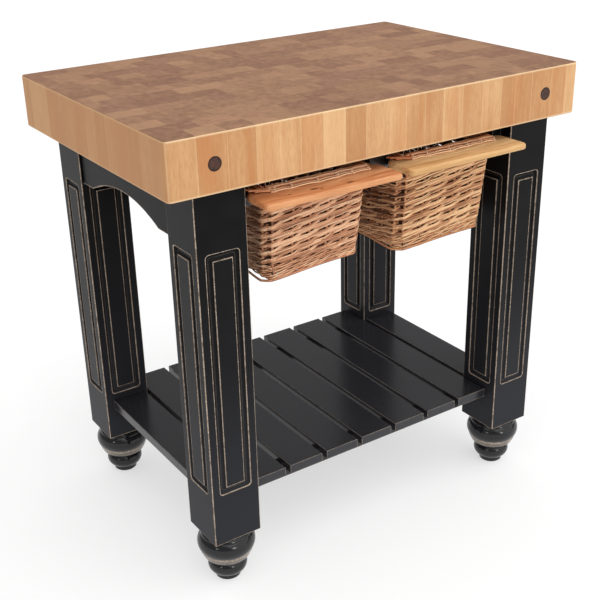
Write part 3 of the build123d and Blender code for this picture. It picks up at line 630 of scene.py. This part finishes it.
class Rods:
    """Collects round rods into one mesh, with a tone and grain coordinates on every point."""

    def __init__(self, sides=6):
        self.sides = sides
        self.points = []
        self.faces = []
        self.tones = []
        self.grain = []

    def add(self, path, radius, tone, upright=False):
        """Add one rod along a path. Radius and tone are one number, or one for each point."""
        path = np.asarray(path, float)
        count = len(path)
        radius = np.broadcast_to(np.asarray(radius, float), (count,))
        tone = np.broadcast_to(np.asarray(tone, float), (count,))
        tangent = unit(np.gradient(path, axis=0))
        reference = UPRIGHT_REFERENCE if upright else LEVEL_REFERENCE
        sideways = unit(np.cross(tangent, reference))
        upwards = np.cross(sideways, tangent)
        turn = 2 * np.pi * np.arange(self.sides) / self.sides
        cos = np.cos(turn)[None, :, None]
        sin = np.sin(turn)[None, :, None]
        ring = cos * sideways[:, None, :] + sin * upwards[:, None, :]
        points = path[:, None, :] + ring * radius[:, None, None]
        run = np.concatenate([[0], np.cumsum(np.linalg.norm(np.diff(path, axis=0), axis=1))])
        grain = np.empty((count, self.sides, 3))
        grain[:, :, 0] = run[:, None] + tone[0] * GRAIN_SHIFT
        grain[:, :, 1] = cos[:, :, 0]
        grain[:, :, 2] = sin[:, :, 0]
        first = sum(len(block) for block in self.points)
        index = first + np.arange(count * self.sides).reshape(count, self.sides)
        before = index[:-1]
        after = index[1:]
        corners = [before, np.roll(before, -1, axis=1), np.roll(after, -1, axis=1), after]
        self.faces.extend(np.stack(corners, axis=-1).reshape(-1, 4).tolist())
        self.faces.extend([index[0][::-1].tolist(), index[-1].tolist()])
        self.points.append(points.reshape(-1, 3))
        self.tones.append(np.repeat(tone, self.sides))
        self.grain.append(grain.reshape(-1, 3))

    def lay(self, x, y, z, radius, tone, upright=False):
        """Add one rod along a path given as three columns."""
        self.add(np.stack([x, y, z], axis=1), radius, tone, upright)

    def build(self, name, material, body, replaced):
        """Make the piece. It rides its body and stands in for a CAD node."""
        mesh = bpy.data.meshes.new(name)
        mesh.from_pydata(np.concatenate(self.points).tolist(), [], self.faces)
        tone = mesh.attributes.new("tone", "FLOAT", "POINT")
        tone.data.foreach_set("value", np.concatenate(self.tones))
        grain = mesh.attributes.new("grain", "FLOAT_VECTOR", "POINT")
        grain.data.foreach_set("vector", np.concatenate(self.grain).ravel())
        mesh.shade_smooth()
        mesh.materials.append(material)
        piece = new_object(name, mesh)
        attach(piece, body)
        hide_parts(replaced)


def periodic(keys, values, period):
    """Smooth curve through the given values, which repeats after a period."""
    keys = np.asarray(keys, float)
    values = np.asarray(values, float)
    grid = np.concatenate([keys - period, keys, keys + period])
    level = np.tile(values, 3)
    slope = np.gradient(level, grid)

    def curve(phase):
        phase = np.mod(phase, period)
        i = np.searchsorted(grid, phase, side="right") - 1
        width = grid[i + 1] - grid[i]
        t = (phase - grid[i]) / width
        return (
            (2 * t**3 - 3 * t**2 + 1) * level[i]
            + (t**3 - 2 * t**2 + t) * width * slope[i]
            + (-2 * t**3 + 3 * t**2) * level[i + 1]
            + (t**3 - t**2) * width * slope[i + 1]
        )

    return curve


def wander(count, step, size, rng):
    """Slow random drift along a rod."""
    knots = rng.normal(0, size, count // step + 4)
    return np.interp(np.arange(count) / step, np.arange(len(knots)), knots)


def rod_tones(count, shortest, longest, rods, rng):
    """One random number for each rod of those laid end to end in a strand, given on every point."""
    lengths = rng.integers(shortest, longest, rods)
    owner = np.searchsorted(np.cumsum(lengths), np.arange(count))
    return rng.random(rods + 1)[owner]


# Rise of a strand in one round and in one bay, and the radii of stakes and weavers
ROUND = 0.0164
RISE = 0.0082
STAKE = 0.0025
WEAVER = 0.00130
WEAVER_SPACING = 0.00272

# A weaver passes outside two stakes and inside the third, over a period of three bays
PERIOD = 3.0
FIRST_STAKE = 1.0
SECOND_STAKE = 2.0
SWING = 0.0019
SWING_WIDTH = 0.34
DROP_WIDTH = 0.4
IN_AND_OUT = periodic(
    [0.0, 0.33, 0.5, 0.66, 1.0, 1.5, 2.0, 2.32, 2.5, 2.66],
    [-0.0042, -0.0026, -0.0002, 0.0019, 0.0038, 0.0035, 0.0038, 0.0022, 0.0001, -0.0023],
    PERIOD,
)


def swing(phase):
    """1 at phase 0, falling smoothly to 0 on both sides."""
    return np.exp(-((phase / SWING_WIDTH) ** 2))


def up_and_down(phase, level):
    """Height of a weaver in its round: it climbs across two stakes and drops behind the third.

    Where level is 1 the weaver runs level beside the third stake and closes the slit there.
    """
    phase = np.mod(phase, PERIOD)
    climbing = (phase > 0.5) & (phase < PERIOD - 0.5)
    climb = RISE * (phase - PERIOD / 2)
    climb += SWING * (swing(phase - FIRST_STAKE) - swing(phase - SECOND_STAKE))
    past_third = np.where(phase >= PERIOD - 0.5, phase - PERIOD, phase)
    before = RISE + RISE * (past_third + 0.5) * (1 - level)
    after = -RISE + RISE * (past_third - 0.5) * (1 - level)
    fall = np.clip(0.5 + past_third / DROP_WIDTH, 0, 1)
    fall = 3 * fall**2 - 2 * fall**3
    return np.where(climbing, climb, before + (after - before) * fall)


class Wall:
    """Centre surface of a basket wall: four straight sides and four slanting corners.

    A bay is the space from one stake to the next. Bay 0 starts at the left end of the front.
    """

    # Length that a slanting corner takes off each side, and the inset of the surface in its box
    SLANT = 0.0115
    INSET = 0.0056

    # Shrinking of the half sizes from top to bottom, and the share of a bay taken by a turn
    TAPER = np.array([0.006, 0.020])
    TURN = 0.35

    # Stakes of a front or back and of a side, as shares of its half length
    FRONT = (-1.0, -0.53, -0.133, 0.265, 0.654, 1.0)
    SIDE = (*(-1 + 0.2 * n for n in range(10)), 1.0)

    def __init__(self, low, high):
        self.low = low
        self.high = high
        self.centre = (low + high) / 2
        self.top = np.array([(high.x - low.x) / 2 - self.INSET, (high.y - low.y) / 2 - self.INSET])
        self.shares = np.array(2 * (self.FRONT + self.SIDE))
        self.quarters = np.repeat([0, 1, 2, 3], 2 * [len(self.FRONT), len(self.SIDE)])
        self.bays = len(self.shares)

    def slant_weight(self, bay, level, steepness):
        """Up to 1 in the slanting corners, falling to 0 on both sides of their middles."""
        corners = np.flatnonzero(self.shares == 1.0)
        return sum(np.clip(level - steepness * np.abs(bay - n - 0.5), 0, 1) for n in corners)

    def on_slant(self, s):
        """1 in the middle of a slanting corner, 0 elsewhere."""
        return self.slant_weight(np.mod(s, self.bays), 2.5, 5)

    def near_slant(self, s):
        """1 at a slanting corner and its stakes, fading to 0 within the next bays.

        The last corner ends at its middle, where the bays are counted from the start again.
        """
        return self.slant_weight(np.mod(s + 0.5, self.bays) - 0.5, 2.0, 2)

    def half(self, z):
        """Half sizes of the plan at each height z."""
        share = (self.high.z - z) / (self.high.z - self.low.z)
        return self.top[None, :] - self.TAPER[None, :] * share[:, None]

    def stake(self, index, half):
        """Place of stake number index on the plan, for each row of half sizes."""
        quarter = self.quarters[index]
        on_side = quarter % 2 == 1
        run = np.where(on_side, half[:, 1], half[:, 0])
        depth = np.where(on_side, half[:, 0], half[:, 1])
        along = self.shares[index] * (run - self.SLANT)
        cos = np.array([1, 0, -1, 0])[quarter]
        sin = np.array([0, 1, 0, -1])[quarter]
        return np.stack([along * cos + depth * sin, along * sin - depth * cos], axis=1)

    def point(self, s, z, out):
        """Point at bay coordinate s and height z, moved outwards by out. Arrays in, array out."""
        s = np.mod(s, self.bays)
        half = self.half(z)
        here = np.floor(s).astype(int) % self.bays
        t = (s - np.floor(s))[:, None]
        ends = [self.stake((here + shift) % self.bays, half) for shift in (-1, 0, 1, 2)]

        def outward(a, b):
            run = b - a
            return unit(np.stack([run[:, 1], -run[:, 0]], axis=1))

        before, face, after = (outward(ends[i], ends[i + 1]) for i in range(3))
        ease = np.clip(1 - t / self.TURN, 0, 1) ** 1.5
        ease_end = np.clip(1 - (1 - t) / self.TURN, 0, 1) ** 1.5
        normal = unit(face + (before - face) * ease * 0.5 + (after - face) * ease_end * 0.5)
        spot = ends[1] + (ends[2] - ends[1]) * t + normal * out[:, None]
        return np.stack([self.centre.x + spot[:, 0], self.centre.y + spot[:, 1], z], axis=1)


WEAVE_SEED = {"left": 7, "right": 11}
FIRST_ROUND = {"left": 0.6476, "right": 0.6282}
STEPS_PER_BAY = 8
CORNER_RECESS = 0.0022
CORNER_BULGE = 0.0012

# Bays over which a strand steps up to its next round, behind the basket
ROUND_STEP_BAYS = 5

# Number of bays in the front, where the right side ends, and where the left side starts
FRONT_BAYS = 6
RIGHT_END_BAY = 16.6
LEFT_START_BAY = 23

# Drift along a rod: points between its knots, and size
SPACING_DRIFT = (31, 0.00012)
HEIGHT_DRIFT = (17, 0.00025)
DEPTH_DRIFT = (15, 0.00025)
RADIUS_DRIFT = (57, 0.07)
BAND_DRIFT = (11, 0.0004)
BAND_RADIUS_DRIFT = (23, 0.08)
FOOT_ROD_DRIFT = (17, 0.0003)
FLOOR_ROD_DRIFT = (9, 0.0003)

# Shortest and longest rod of a strand in points, and how many are drawn
WEAVER_LENGTHS = (70, 220, 400)
BAND_LENGTHS = (25, 80, 40)

# Tones of the weavers: range over the rods, and what shadow takes off
WEAVER_TONE = -0.14
WEAVER_TONE_RANGE = 1.36
HIDDEN_SHADE = 1.2
RECESS_SHADE = 0.45
FLANK_SHADE = {"left": 0.08, "right": 0.34}

# Share of their spacing that weavers lose over a stake
SQUEEZE = 0.16

# Thin rods in bands round the foot of a basket
BAND_STEPS_PER_BAY = 6
BASE_BANDS = 4
BAND = 0.0053
BAND_DROOP = 0.0075
BAND_ROD_RADIUS = 0.00165


def weave_basket(side):
    """Woven body of a basket: three strands round upright stakes, foot bands and a floor."""
    prefix = f"basket_{side}"
    node = f"{prefix}_woven_body"
    willow_rods = willow_materials[side]
    rng = np.random.default_rng(WEAVE_SEED[side])
    wall = Wall(*box_of(node))
    for strand in range(3):
        weavers = weave_strand(wall, side, strand, rng)
        weavers.build(f"{prefix}_weavers_{strand + 1}", willow_rods, prefix, node)
    stakes = set_stakes(wall, rng)
    stakes.build(f"{prefix}_stakes", willow_rods, prefix, node)
    base = Rods()
    foot_bands(base, wall, rng)
    foot_rod(base, wall, side, rng)
    floor_rods(base, wall, rng)
    base.build(f"{prefix}_base", willow_rods, prefix, node)


def weave_strand(wall, side, strand, rng):
    """Three rods side by side that climb round the basket, one stake behind the strand before."""
    weavers = Rods()
    bays = wall.bays
    rounds = int((wall.high.z - 0.004 - FIRST_ROUND[side]) / ROUND) + 1
    first = -(bays // 2 - 2) * STEPS_PER_BAY
    s = np.arange(first, bays * rounds * STEPS_PER_BAY) / STEPS_PER_BAY
    count = len(s)
    turn = np.floor(s / bays)
    ramp = np.clip((s - turn * bays - bays / 2) / ROUND_STEP_BAYS, 0, 1)
    phase = s - strand
    bay = np.mod(s, bays)
    front = np.clip(bay + 0.5, 0, 1) * np.clip(FRONT_BAYS - 0.5 - bay, 0, 1)
    z = FIRST_ROUND[side] + ROUND * (turn + ramp) + up_and_down(phase, 1 - front)
    beside = np.abs(np.mod(phase, PERIOD) - PERIOD / 2) > 0.5
    recess = beside * wall.on_slant(s)
    flank = ((bay > FRONT_BAYS) & (bay < RIGHT_END_BAY)) | (bay > LEFT_START_BAY)
    bulge = CORNER_BULGE * wall.near_slant(s)
    squeeze = 1.0 - SQUEEZE * np.abs(np.cos(np.pi * phase)) ** 6
    for rod in (-1, 0, 1):
        height = z + rod * (WEAVER_SPACING * squeeze + wander(count, *SPACING_DRIFT, rng))
        height += wander(count, *HEIGHT_DRIFT, rng)
        out = IN_AND_OUT(phase + 0.07 * rod)
        hidden = np.clip((-0.0008 - out) / 0.002, 0, 1) + RECESS_SHADE * recess
        out = out - CORNER_RECESS * recess + bulge * (out > 0)
        depth = out + wander(count, *DEPTH_DRIFT, rng) - abs(rod) * 0.0002
        radius = WEAVER * (1.0 + wander(count, *RADIUS_DRIFT, rng))
        tone = WEAVER_TONE + WEAVER_TONE_RANGE * rod_tones(count, *WEAVER_LENGTHS, rng)
        tone = tone - HIDDEN_SHADE * hidden - FLANK_SHADE[side] * flank
        height = np.minimum(height, wall.high.z - WEAVER)
        weavers.add(wall.point(s, height, depth), radius, tone)
    return weavers


def set_stakes(wall, rng):
    """Upright stakes, one at the start of each bay."""
    stakes = Rods(8)
    z = np.linspace(wall.low.z + 0.004, wall.high.z - 0.0005, 14)
    for bay, share in enumerate(wall.shares):
        s = np.full(len(z), bay + rng.normal(0, 0.015))
        at_corner = share in (-1.0, 1.0)
        out = np.full(len(z), 0.0012 if at_corner else 0.0004)
        tone = 0.3 * rng.random() - 0.1 * (bay < FRONT_BAYS)
        stakes.add(wall.point(s, z, out), STAKE, tone, upright=True)
    return stakes


def foot_bands(rods, wall, rng):
    """Bands of three twined rods round the foot, drooping at the front left corner."""
    s = np.arange(0, wall.bays * BAND_STEPS_PER_BAY + 1) / BAND_STEPS_PER_BAY
    count = len(s)
    from_corner = np.mod(s + wall.bays / 2, wall.bays) - wall.bays / 2
    width = np.where(from_corner < 0.0, 0.8, 7.0)
    for band in range(BASE_BANDS):
        lift = wall.low.z + 0.0035 + band * BAND
        droop = BAND_DROOP * np.exp(-(from_corner**2) / width) * (1 - band / BASE_BANDS)
        for rod in range(3):
            turn = 2 * np.pi * (s / 2.0 + rod / 3) + band * 1.3
            z = lift + 0.0024 * np.sin(turn) + wander(count, *BAND_DRIFT, rng) - droop
            out = 0.0026 * np.cos(turn) + 0.0008 + wander(count, *BAND_DRIFT, rng)
            z[-1] = z[0]
            out[-1] = out[0]
            radius = BAND_ROD_RADIUS * (1 + wander(count, *BAND_RADIUS_DRIFT, rng))
            # Painted shade: the rods are painted darker where they pass inside the wall
            inside = np.cos(turn) < -0.2
            tone = rod_tones(count, *BAND_LENGTHS, rng) * 0.9 - 0.35 * inside
            rods.add(wall.point(s, z, out), radius, tone)


FOOT_ROD_DROOP = {"left": 0.0085, "right": 0.0050}
FOOT_ROD_RADIUS = 0.0022
FLOOR_STICKS = 7
FLOOR_STICK_RADIUS = 0.003
FLOOR_ROD_RADIUS = 0.0026
FLOOR_PITCH = 0.0062


def foot_rod(rods, wall, side, rng):
    """A rod round the bottom edge that hangs away from the weave at the front left corner."""
    s = np.arange(0, wall.bays * BAND_STEPS_PER_BAY + 1) / BAND_STEPS_PER_BAY
    from_corner = np.mod(s + 0.5 + wall.bays / 2, wall.bays) - wall.bays / 2
    fall = np.exp(-((from_corner + 0.3) ** 2) / np.where(from_corner < -0.3, 4.0, 8.0))
    drift = wander(len(s), *FOOT_ROD_DRIFT, rng)
    z = wall.low.z + 0.0012 - FOOT_ROD_DROOP[side] * fall + drift
    out = 0.0040 + 0.0020 * fall
    z[-1] = z[0]
    out[-1] = out[0]
    rods.add(wall.point(s, z, out), FOOT_ROD_RADIUS, 0.15)


def floor_rods(rods, wall, rng):
    """Woven floor: sticks from front to back with weavers across them."""
    half_x, half_y = wall.top - wall.TAPER - 0.003
    level = wall.low.z + 0.0075
    sticks = np.linspace(-half_x * 0.86, half_x * 0.86, FLOOR_STICKS)
    for x in sticks:
        path = [[wall.centre.x + x, wall.centre.y + y, level] for y in np.linspace(-half_y, half_y, 8)]
        rods.add(path, FLOOR_STICK_RADIUS, rng.random() * 0.8)
    spacing = sticks[1] - sticks[0]
    for n in range(int(2 * half_y / FLOOR_PITCH)):
        y = wall.centre.y - half_y + (n + 0.5) * FLOOR_PITCH
        end = half_x - max(0.0, wall.SLANT - (half_y - abs(y - wall.centre.y)))
        x = np.linspace(-end, end, 50)
        z = level + 0.0042 * np.cos(np.pi * (x - sticks[0]) / spacing + np.pi * (n % 2))
        drift = wander(len(x), *FLOOR_ROD_DRIFT, rng)
        rods.lay(wall.centre.x + x, y + drift, z, FLOOR_ROD_RADIUS, rng.random())


BORDER_SEED = {"left": 23, "right": 29}

# Reach of the front bundle to the left and to the right of the middle
BORDER_LEFT = 0.098
BORDER_RIGHT = 0.104

# Places along the front border where a binding pulls the rods down
LASHINGS = (0.004, 0.040, 0.097, 0.142, 0.176, 0.213)

# Rods of the front bundle: place behind the first rod, height and radius in mm, and tone. Pale and
# dark tones alternate, and the dark rods paint the shade in the gaps between the pale ones
FRONT_RODS = (
    (0.0, 1.5, 1.35, 1.25), (2.8, 1.2, 1.25, -0.3), (5.4, 1.8, 1.4, 1.1), (9.0, 2.0, 1.7, -0.1),
    (12.8, 2.1, 1.8, 0.7), (16.8, 2.1, 1.8, 0.1), (20.8, 2.1, 1.8, 0.6), (22.9, 2.0, 1.6, 0.2),
    (11.0, 5.3, 1.7, 1.0), (14.9, 5.5, 1.8, 0.2), (18.9, 5.3, 1.7, 0.8),
)  # fmt: skip
FRONT_ROD_POINTS = 64
FRONT_DRIFT = (12, 0.0006)
FRONT_HEIGHT_DRIFT = (11, 0.0003)

# Half widths of the arches between bindings and of the bow in the middle
ARCH_WIDTH = 0.011
BOW_WIDTH = 0.045

LOOSE_ENDS = 5
LOOSE_END_RADIUS = 0.0018
RIM_RODS = 3
RIM_ROD_SPACING = 0.0042
RIM_ROD_RADIUS = 0.0021
RIM_DRIFT = (9, 0.0005)
RIM_HEIGHT_DRIFT = (9, 0.0003)
TIP_RADIUS = 0.0009
BINDING_RADIUS = 0.0008


class Border:
    """Measures of one basket's border: its ends along the front, its middle, depth and height."""

    def __init__(self, prefix):
        low, high = box_of(f"{prefix}_border")
        self.middle_x = (low.x + high.x) / 2
        self.start = self.middle_x - BORDER_LEFT
        self.end = self.middle_x + BORDER_RIGHT
        self.front_y = low.y + 0.0030
        self.back_y = high.y
        self.top = box_of(f"{prefix}_board")[1].z
        shares = (np.array(LASHINGS) - LASHINGS[0]) / (LASHINGS[-1] - LASHINGS[0])
        self.lashings = self.start + (self.end - self.start) * shares


def lash_border(side):
    """Willow ends bundled on the rim and held down by thin split-willow loops."""
    prefix = f"basket_{side}"
    rng = np.random.default_rng(BORDER_SEED[side])
    border = Border(prefix)
    bundle = Rods(8)
    front_bundle(bundle, border, rng)
    loose_ends(bundle, border, rng)
    rim_bundles(bundle, border, rng)
    bundle.build(f"{prefix}_rods", willow_materials["border"], prefix, f"{prefix}_border")
    loops = Rods(6)
    bindings(loops, border, rng)
    loops.build(f"{prefix}_bindings", willow_materials["pale"], prefix, f"{prefix}_border")


def front_bundle(rods, border, rng):
    """Rods along the front, pulled down at each binding, with the foremost bowed forwards."""
    count = FRONT_ROD_POINTS
    for across, lift, thickness, tone in FRONT_RODS:
        left = border.start - 0.003 - rng.random() * 0.005
        right = border.end + rng.random() * 0.007
        x = np.linspace(left, right, count)
        pull = np.min(np.abs(x[:, None] - border.lashings[None, :]), axis=1)
        arch = 1 - np.exp(-((pull / ARCH_WIDTH) ** 2))
        y = border.front_y + across * 0.001 + wander(count, *FRONT_DRIFT, rng)
        bow = np.exp(-(((x - border.middle_x + 0.012) / BOW_WIDTH) ** 2))
        y -= bow * max(0.0, 0.0038 - across * 0.0004)
        drift = wander(count, *FRONT_HEIGHT_DRIFT, rng)
        z = border.top + lift * 0.001 + arch * 0.0010 + drift
        radius = thickness * 0.001 * (1 + 0.06 * rng.normal())
        rods.lay(x, y, z, radius, tone)


def loose_ends(rods, border, rng):
    """Rod ends that fan out at the left end of the front bundle."""
    reach = np.linspace(0, 1, 22)
    for number in range(LOOSE_ENDS):
        is_odd = number % 2
        x = border.start - 0.030 + 0.034 * reach - 0.010 * (1 - reach) * is_odd
        y = border.front_y + 0.0035 + number * 0.0052 * (1 - reach * 0.55) + 0.010 * (1 - reach) ** 2
        z = border.top + 0.0022 + 0.0022 * is_odd + 0.001 * np.sin(reach * 5 + number)
        tone = 0.1 + 0.35 * rng.random()
        rods.lay(x, y, z, LOOSE_END_RADIUS, tone)


def rim_height(border, number, count, rng):
    """Height of a rod on the rim: the middle one of three lies higher."""
    drift = wander(count, *RIM_HEIGHT_DRIFT, rng)
    return border.top + 0.0021 + (number == 1) * 0.0026 + drift


def rim_bundles(rods, border, rng):
    """Three rods along each side of the rim and three along its back."""
    count = 50
    for hand in (-1, 1):
        for number in range(RIM_RODS):
            y = np.linspace(border.front_y + 0.020, border.back_y - 0.004, count)
            reach = hand * (0.1135 - number * RIM_ROD_SPACING)
            x = border.middle_x + reach + wander(count, *RIM_DRIFT, rng)
            z = rim_height(border, number, count, rng)
            rods.lay(x, y, z, RIM_ROD_RADIUS, 0.6 * rng.random())
    count = 36
    for number in range(RIM_RODS):
        x = border.middle_x + np.linspace(-0.100, 0.100, count)
        y = border.back_y - 0.006 - number * RIM_ROD_SPACING + wander(count, *RIM_DRIFT, rng)
        z = rim_height(border, number, count, rng)
        rods.lay(x, y, z, RIM_ROD_RADIUS, 0.6 * rng.random())


def bindings(rods, border, rng):
    """Loops over the rods of the border, and two loose tips that stand up at its left end."""
    for x in border.lashings:
        spot = Vector((x, border.front_y + 0.0012, border.top))
        loop(rods, spot, 0.0040, 0.0080, rng.normal(0, 0.0015), rng)
    tip = np.linspace(0, 1, 8)
    for x in (border.start + 0.002, border.start + 0.036):
        y = border.front_y + 0.030 - 0.004 * tip
        z = border.top + 0.001 + 0.020 * tip
        rods.lay(x - 0.004 * tip, y, z, TIP_RADIUS, 1.0, upright=True)
    for hand in (-1, 1):
        for y in np.linspace(border.front_y + 0.06, border.back_y - 0.05, 6):
            spot = Vector((border.middle_x + hand * 0.1095, y, border.top))
            loop(rods, spot, 0.0072, 0.0090, rng.normal(0, 0.001), rng, turned=True)
    for x in np.linspace(-0.075, 0.075, 4):
        spot = Vector((border.middle_x + x, border.back_y - 0.0102, border.top))
        loop(rods, spot, 0.0072, 0.0090, 0.0, rng)


def loop(rods, foot, half_width, height, lean, rng, turned=False):
    """One binding: up one side of the rods, over them, and down into the rim on the other."""
    angle = np.linspace(-0.12, np.pi + 0.12, 15)
    across = -np.cos(angle) * half_width
    up = np.sin(angle) * height
    slide = np.linspace(-0.5, 0.5, len(angle)) * 0.002 + lean * np.clip(up / height, 0, 1)
    columns = [across, slide, up] if turned else [slide, across, up]
    path = np.array(foot) + np.stack(columns, axis=1)
    rods.add(path, BINDING_RADIUS, 0.8 + 0.2 * rng.random(), upright=not turned)


# Knots in the left pull: place from its middle, and size
KNOTS = (
    (-0.0338, -0.0156, 0.0068),
    (0.0369, -0.0232, 0.0062),
    (-0.0835, -0.0136, 0.0034),
    (-0.0230, -0.0225, 0.0034),
)
BOARD_ROUGHNESS = 0.38


def board_wood(side):
    """Wood of a basket's pull: reddish with knots on the left, pale and plain on the right."""
    low, high = box_of(f"basket_{side}_board")
    middle = (low + high) / 2
    name = f"board_{side}"
    if side == "right":
        edge = (low.y, "c89c60")
        return grain_wood(name, "c08b52", "f6cd96", 0, (), BOARD_ROUGHNESS, edge, place_shift=2.0)
    edge = (low.y, "c68b58")
    knots = [((middle.x + x, middle.y + y), size) for x, y, size in KNOTS]
    return grain_wood(name, "bd7040", "f2b07c", 0, knots, BOARD_ROUGHNESS, edge)


willow_materials = {
    "left": willow("willow_left", "30160c", "c98c67", "f6cda6"),
    "right": willow("willow_right", "34190d", "c98c62", "f5cf9f"),
    "border": willow("willow_border", "5c2610", "dd8a58", "ffd2a6"),
    "pale": willow("willow_pale", "a4683f", "eab488", "ffdcb8"),
}
for side in ("left", "right"):
    weave_basket(side)
    lash_border(side)
    dress(f"basket_{side}_board", board_wood(side))
    rim = grain_wood(f"rim_{side}", "a56f40", "d6a06a", along=1)
    for part in ("rail_left", "rail_right", "rail_back"):
        dress(f"basket_{side}_{part}", rim)


# ---- floor, light and camera

WHITE = (1.0, 1.0, 1.0, 1.0)

# The floor is half lit and half glowing, so that its shadows stay faint
FLOOR_REACH = 40.0
FLOOR_BASE = 0.44
FLOOR_GLOW = 0.58
SKY_STRENGTH = 0.40


def lay_floor():
    """White floor that fades into the background."""
    reach = FLOOR_REACH
    corners = [(-reach, -reach, 0), (reach, -reach, 0), (reach, reach, 0), (-reach, reach, 0)]
    mesh = bpy.data.meshes.new("floor")
    mesh.from_pydata(corners, [], [(0, 1, 2, 3)])
    shader = Shader("floor", roughness=0.9, specular=0.1)
    shader.surface.inputs["Base Color"].default_value = (FLOOR_BASE, FLOOR_BASE, FLOOR_BASE, 1)
    shader.surface.inputs["Emission Color"].default_value = WHITE
    shader.surface.inputs["Emission Strength"].default_value = FLOOR_GLOW
    mesh.materials.append(shader.material)
    new_object("floor", mesh)


def light_sky():
    """Sky that lights the table softly, and that the camera sees white like the photo's background."""
    world = bpy.data.worlds.new("studio")
    bpy.context.scene.world = world
    world.use_nodes = True
    nodes = world.node_tree.nodes
    link = world.node_tree.links.new
    fill = nodes["Background"]
    fill.inputs["Color"].default_value = WHITE
    fill.inputs["Strength"].default_value = SKY_STRENGTH
    backdrop = nodes.new("ShaderNodeBackground")
    backdrop.inputs["Color"].default_value = WHITE
    ray = nodes.new("ShaderNodeLightPath")
    seen_or_lit = nodes.new("ShaderNodeMixShader")
    link(ray.outputs["Is Camera Ray"], seen_or_lit.inputs[0])
    link(fill.outputs["Background"], seen_or_lit.inputs[1])
    link(backdrop.outputs["Background"], seen_or_lit.inputs[2])
    link(seen_or_lit.outputs["Shader"], nodes["World Output"].inputs["Surface"])


def direction(azimuth, elevation):
    """Unit vector from the table towards a place at an azimuth and elevation, in radians."""
    level = math.cos(elevation)
    return Vector((math.sin(azimuth) * level, -math.cos(azimuth) * level, math.sin(elevation)))


def soft_sun(name, azimuth, elevation, strength, spread):
    """Broad studio light from a direction, with its softness as an angle across, in degrees."""
    data = bpy.data.lights.new(name, "SUN")
    data.energy = strength
    data.angle = math.radians(spread)
    towards = direction(math.radians(azimuth), math.radians(elevation))
    new_object(name, data).rotation_euler = towards.to_track_quat("Z", "Y").to_euler()


# Camera found from the corners of the block and the legs in the photo
AZIMUTH = math.radians(-33.588)
ELEVATION = math.radians(24.609)
ROLL = math.radians(-1.378)
CAMERA_PLACE = (-1.14183, -1.70190 + MIDDLE_Y, 1.35102)
SENSOR_WIDTH = 36.0
FOCAL_LENGTH = 62.351


def place_camera():
    """Camera that sees the table as the photo does."""
    back = direction(AZIMUTH, ELEVATION)
    right = Vector((0, 0, 1)).cross(back).normalized()
    up = back.cross(right)
    rolled_right = right * math.cos(ROLL) + up * math.sin(ROLL)
    rolled_up = up * math.cos(ROLL) - right * math.sin(ROLL)
    basis = Matrix((rolled_right, rolled_up, back)).transposed().to_4x4()
    data = bpy.data.cameras.new("camera")
    data.sensor_width = SENSOR_WIDTH
    data.lens = FOCAL_LENGTH
    data.clip_end = 100.0
    camera = new_object("camera", data)
    camera.matrix_world = Matrix.Translation(CAMERA_PLACE) @ basis
    bpy.context.scene.camera = camera


lay_floor()
light_sky()
soft_sun("key", 28, 40, 1.2, 85)
soft_sun("top", 0, 85, 1.42, 100)
soft_sun("glint", 0, 16, 0.26, 12)
soft_sun("glint_side", -66, 16, 0.1, 9)
place_camera()
bpy.context.scene.view_settings.view_transform = "Standard"
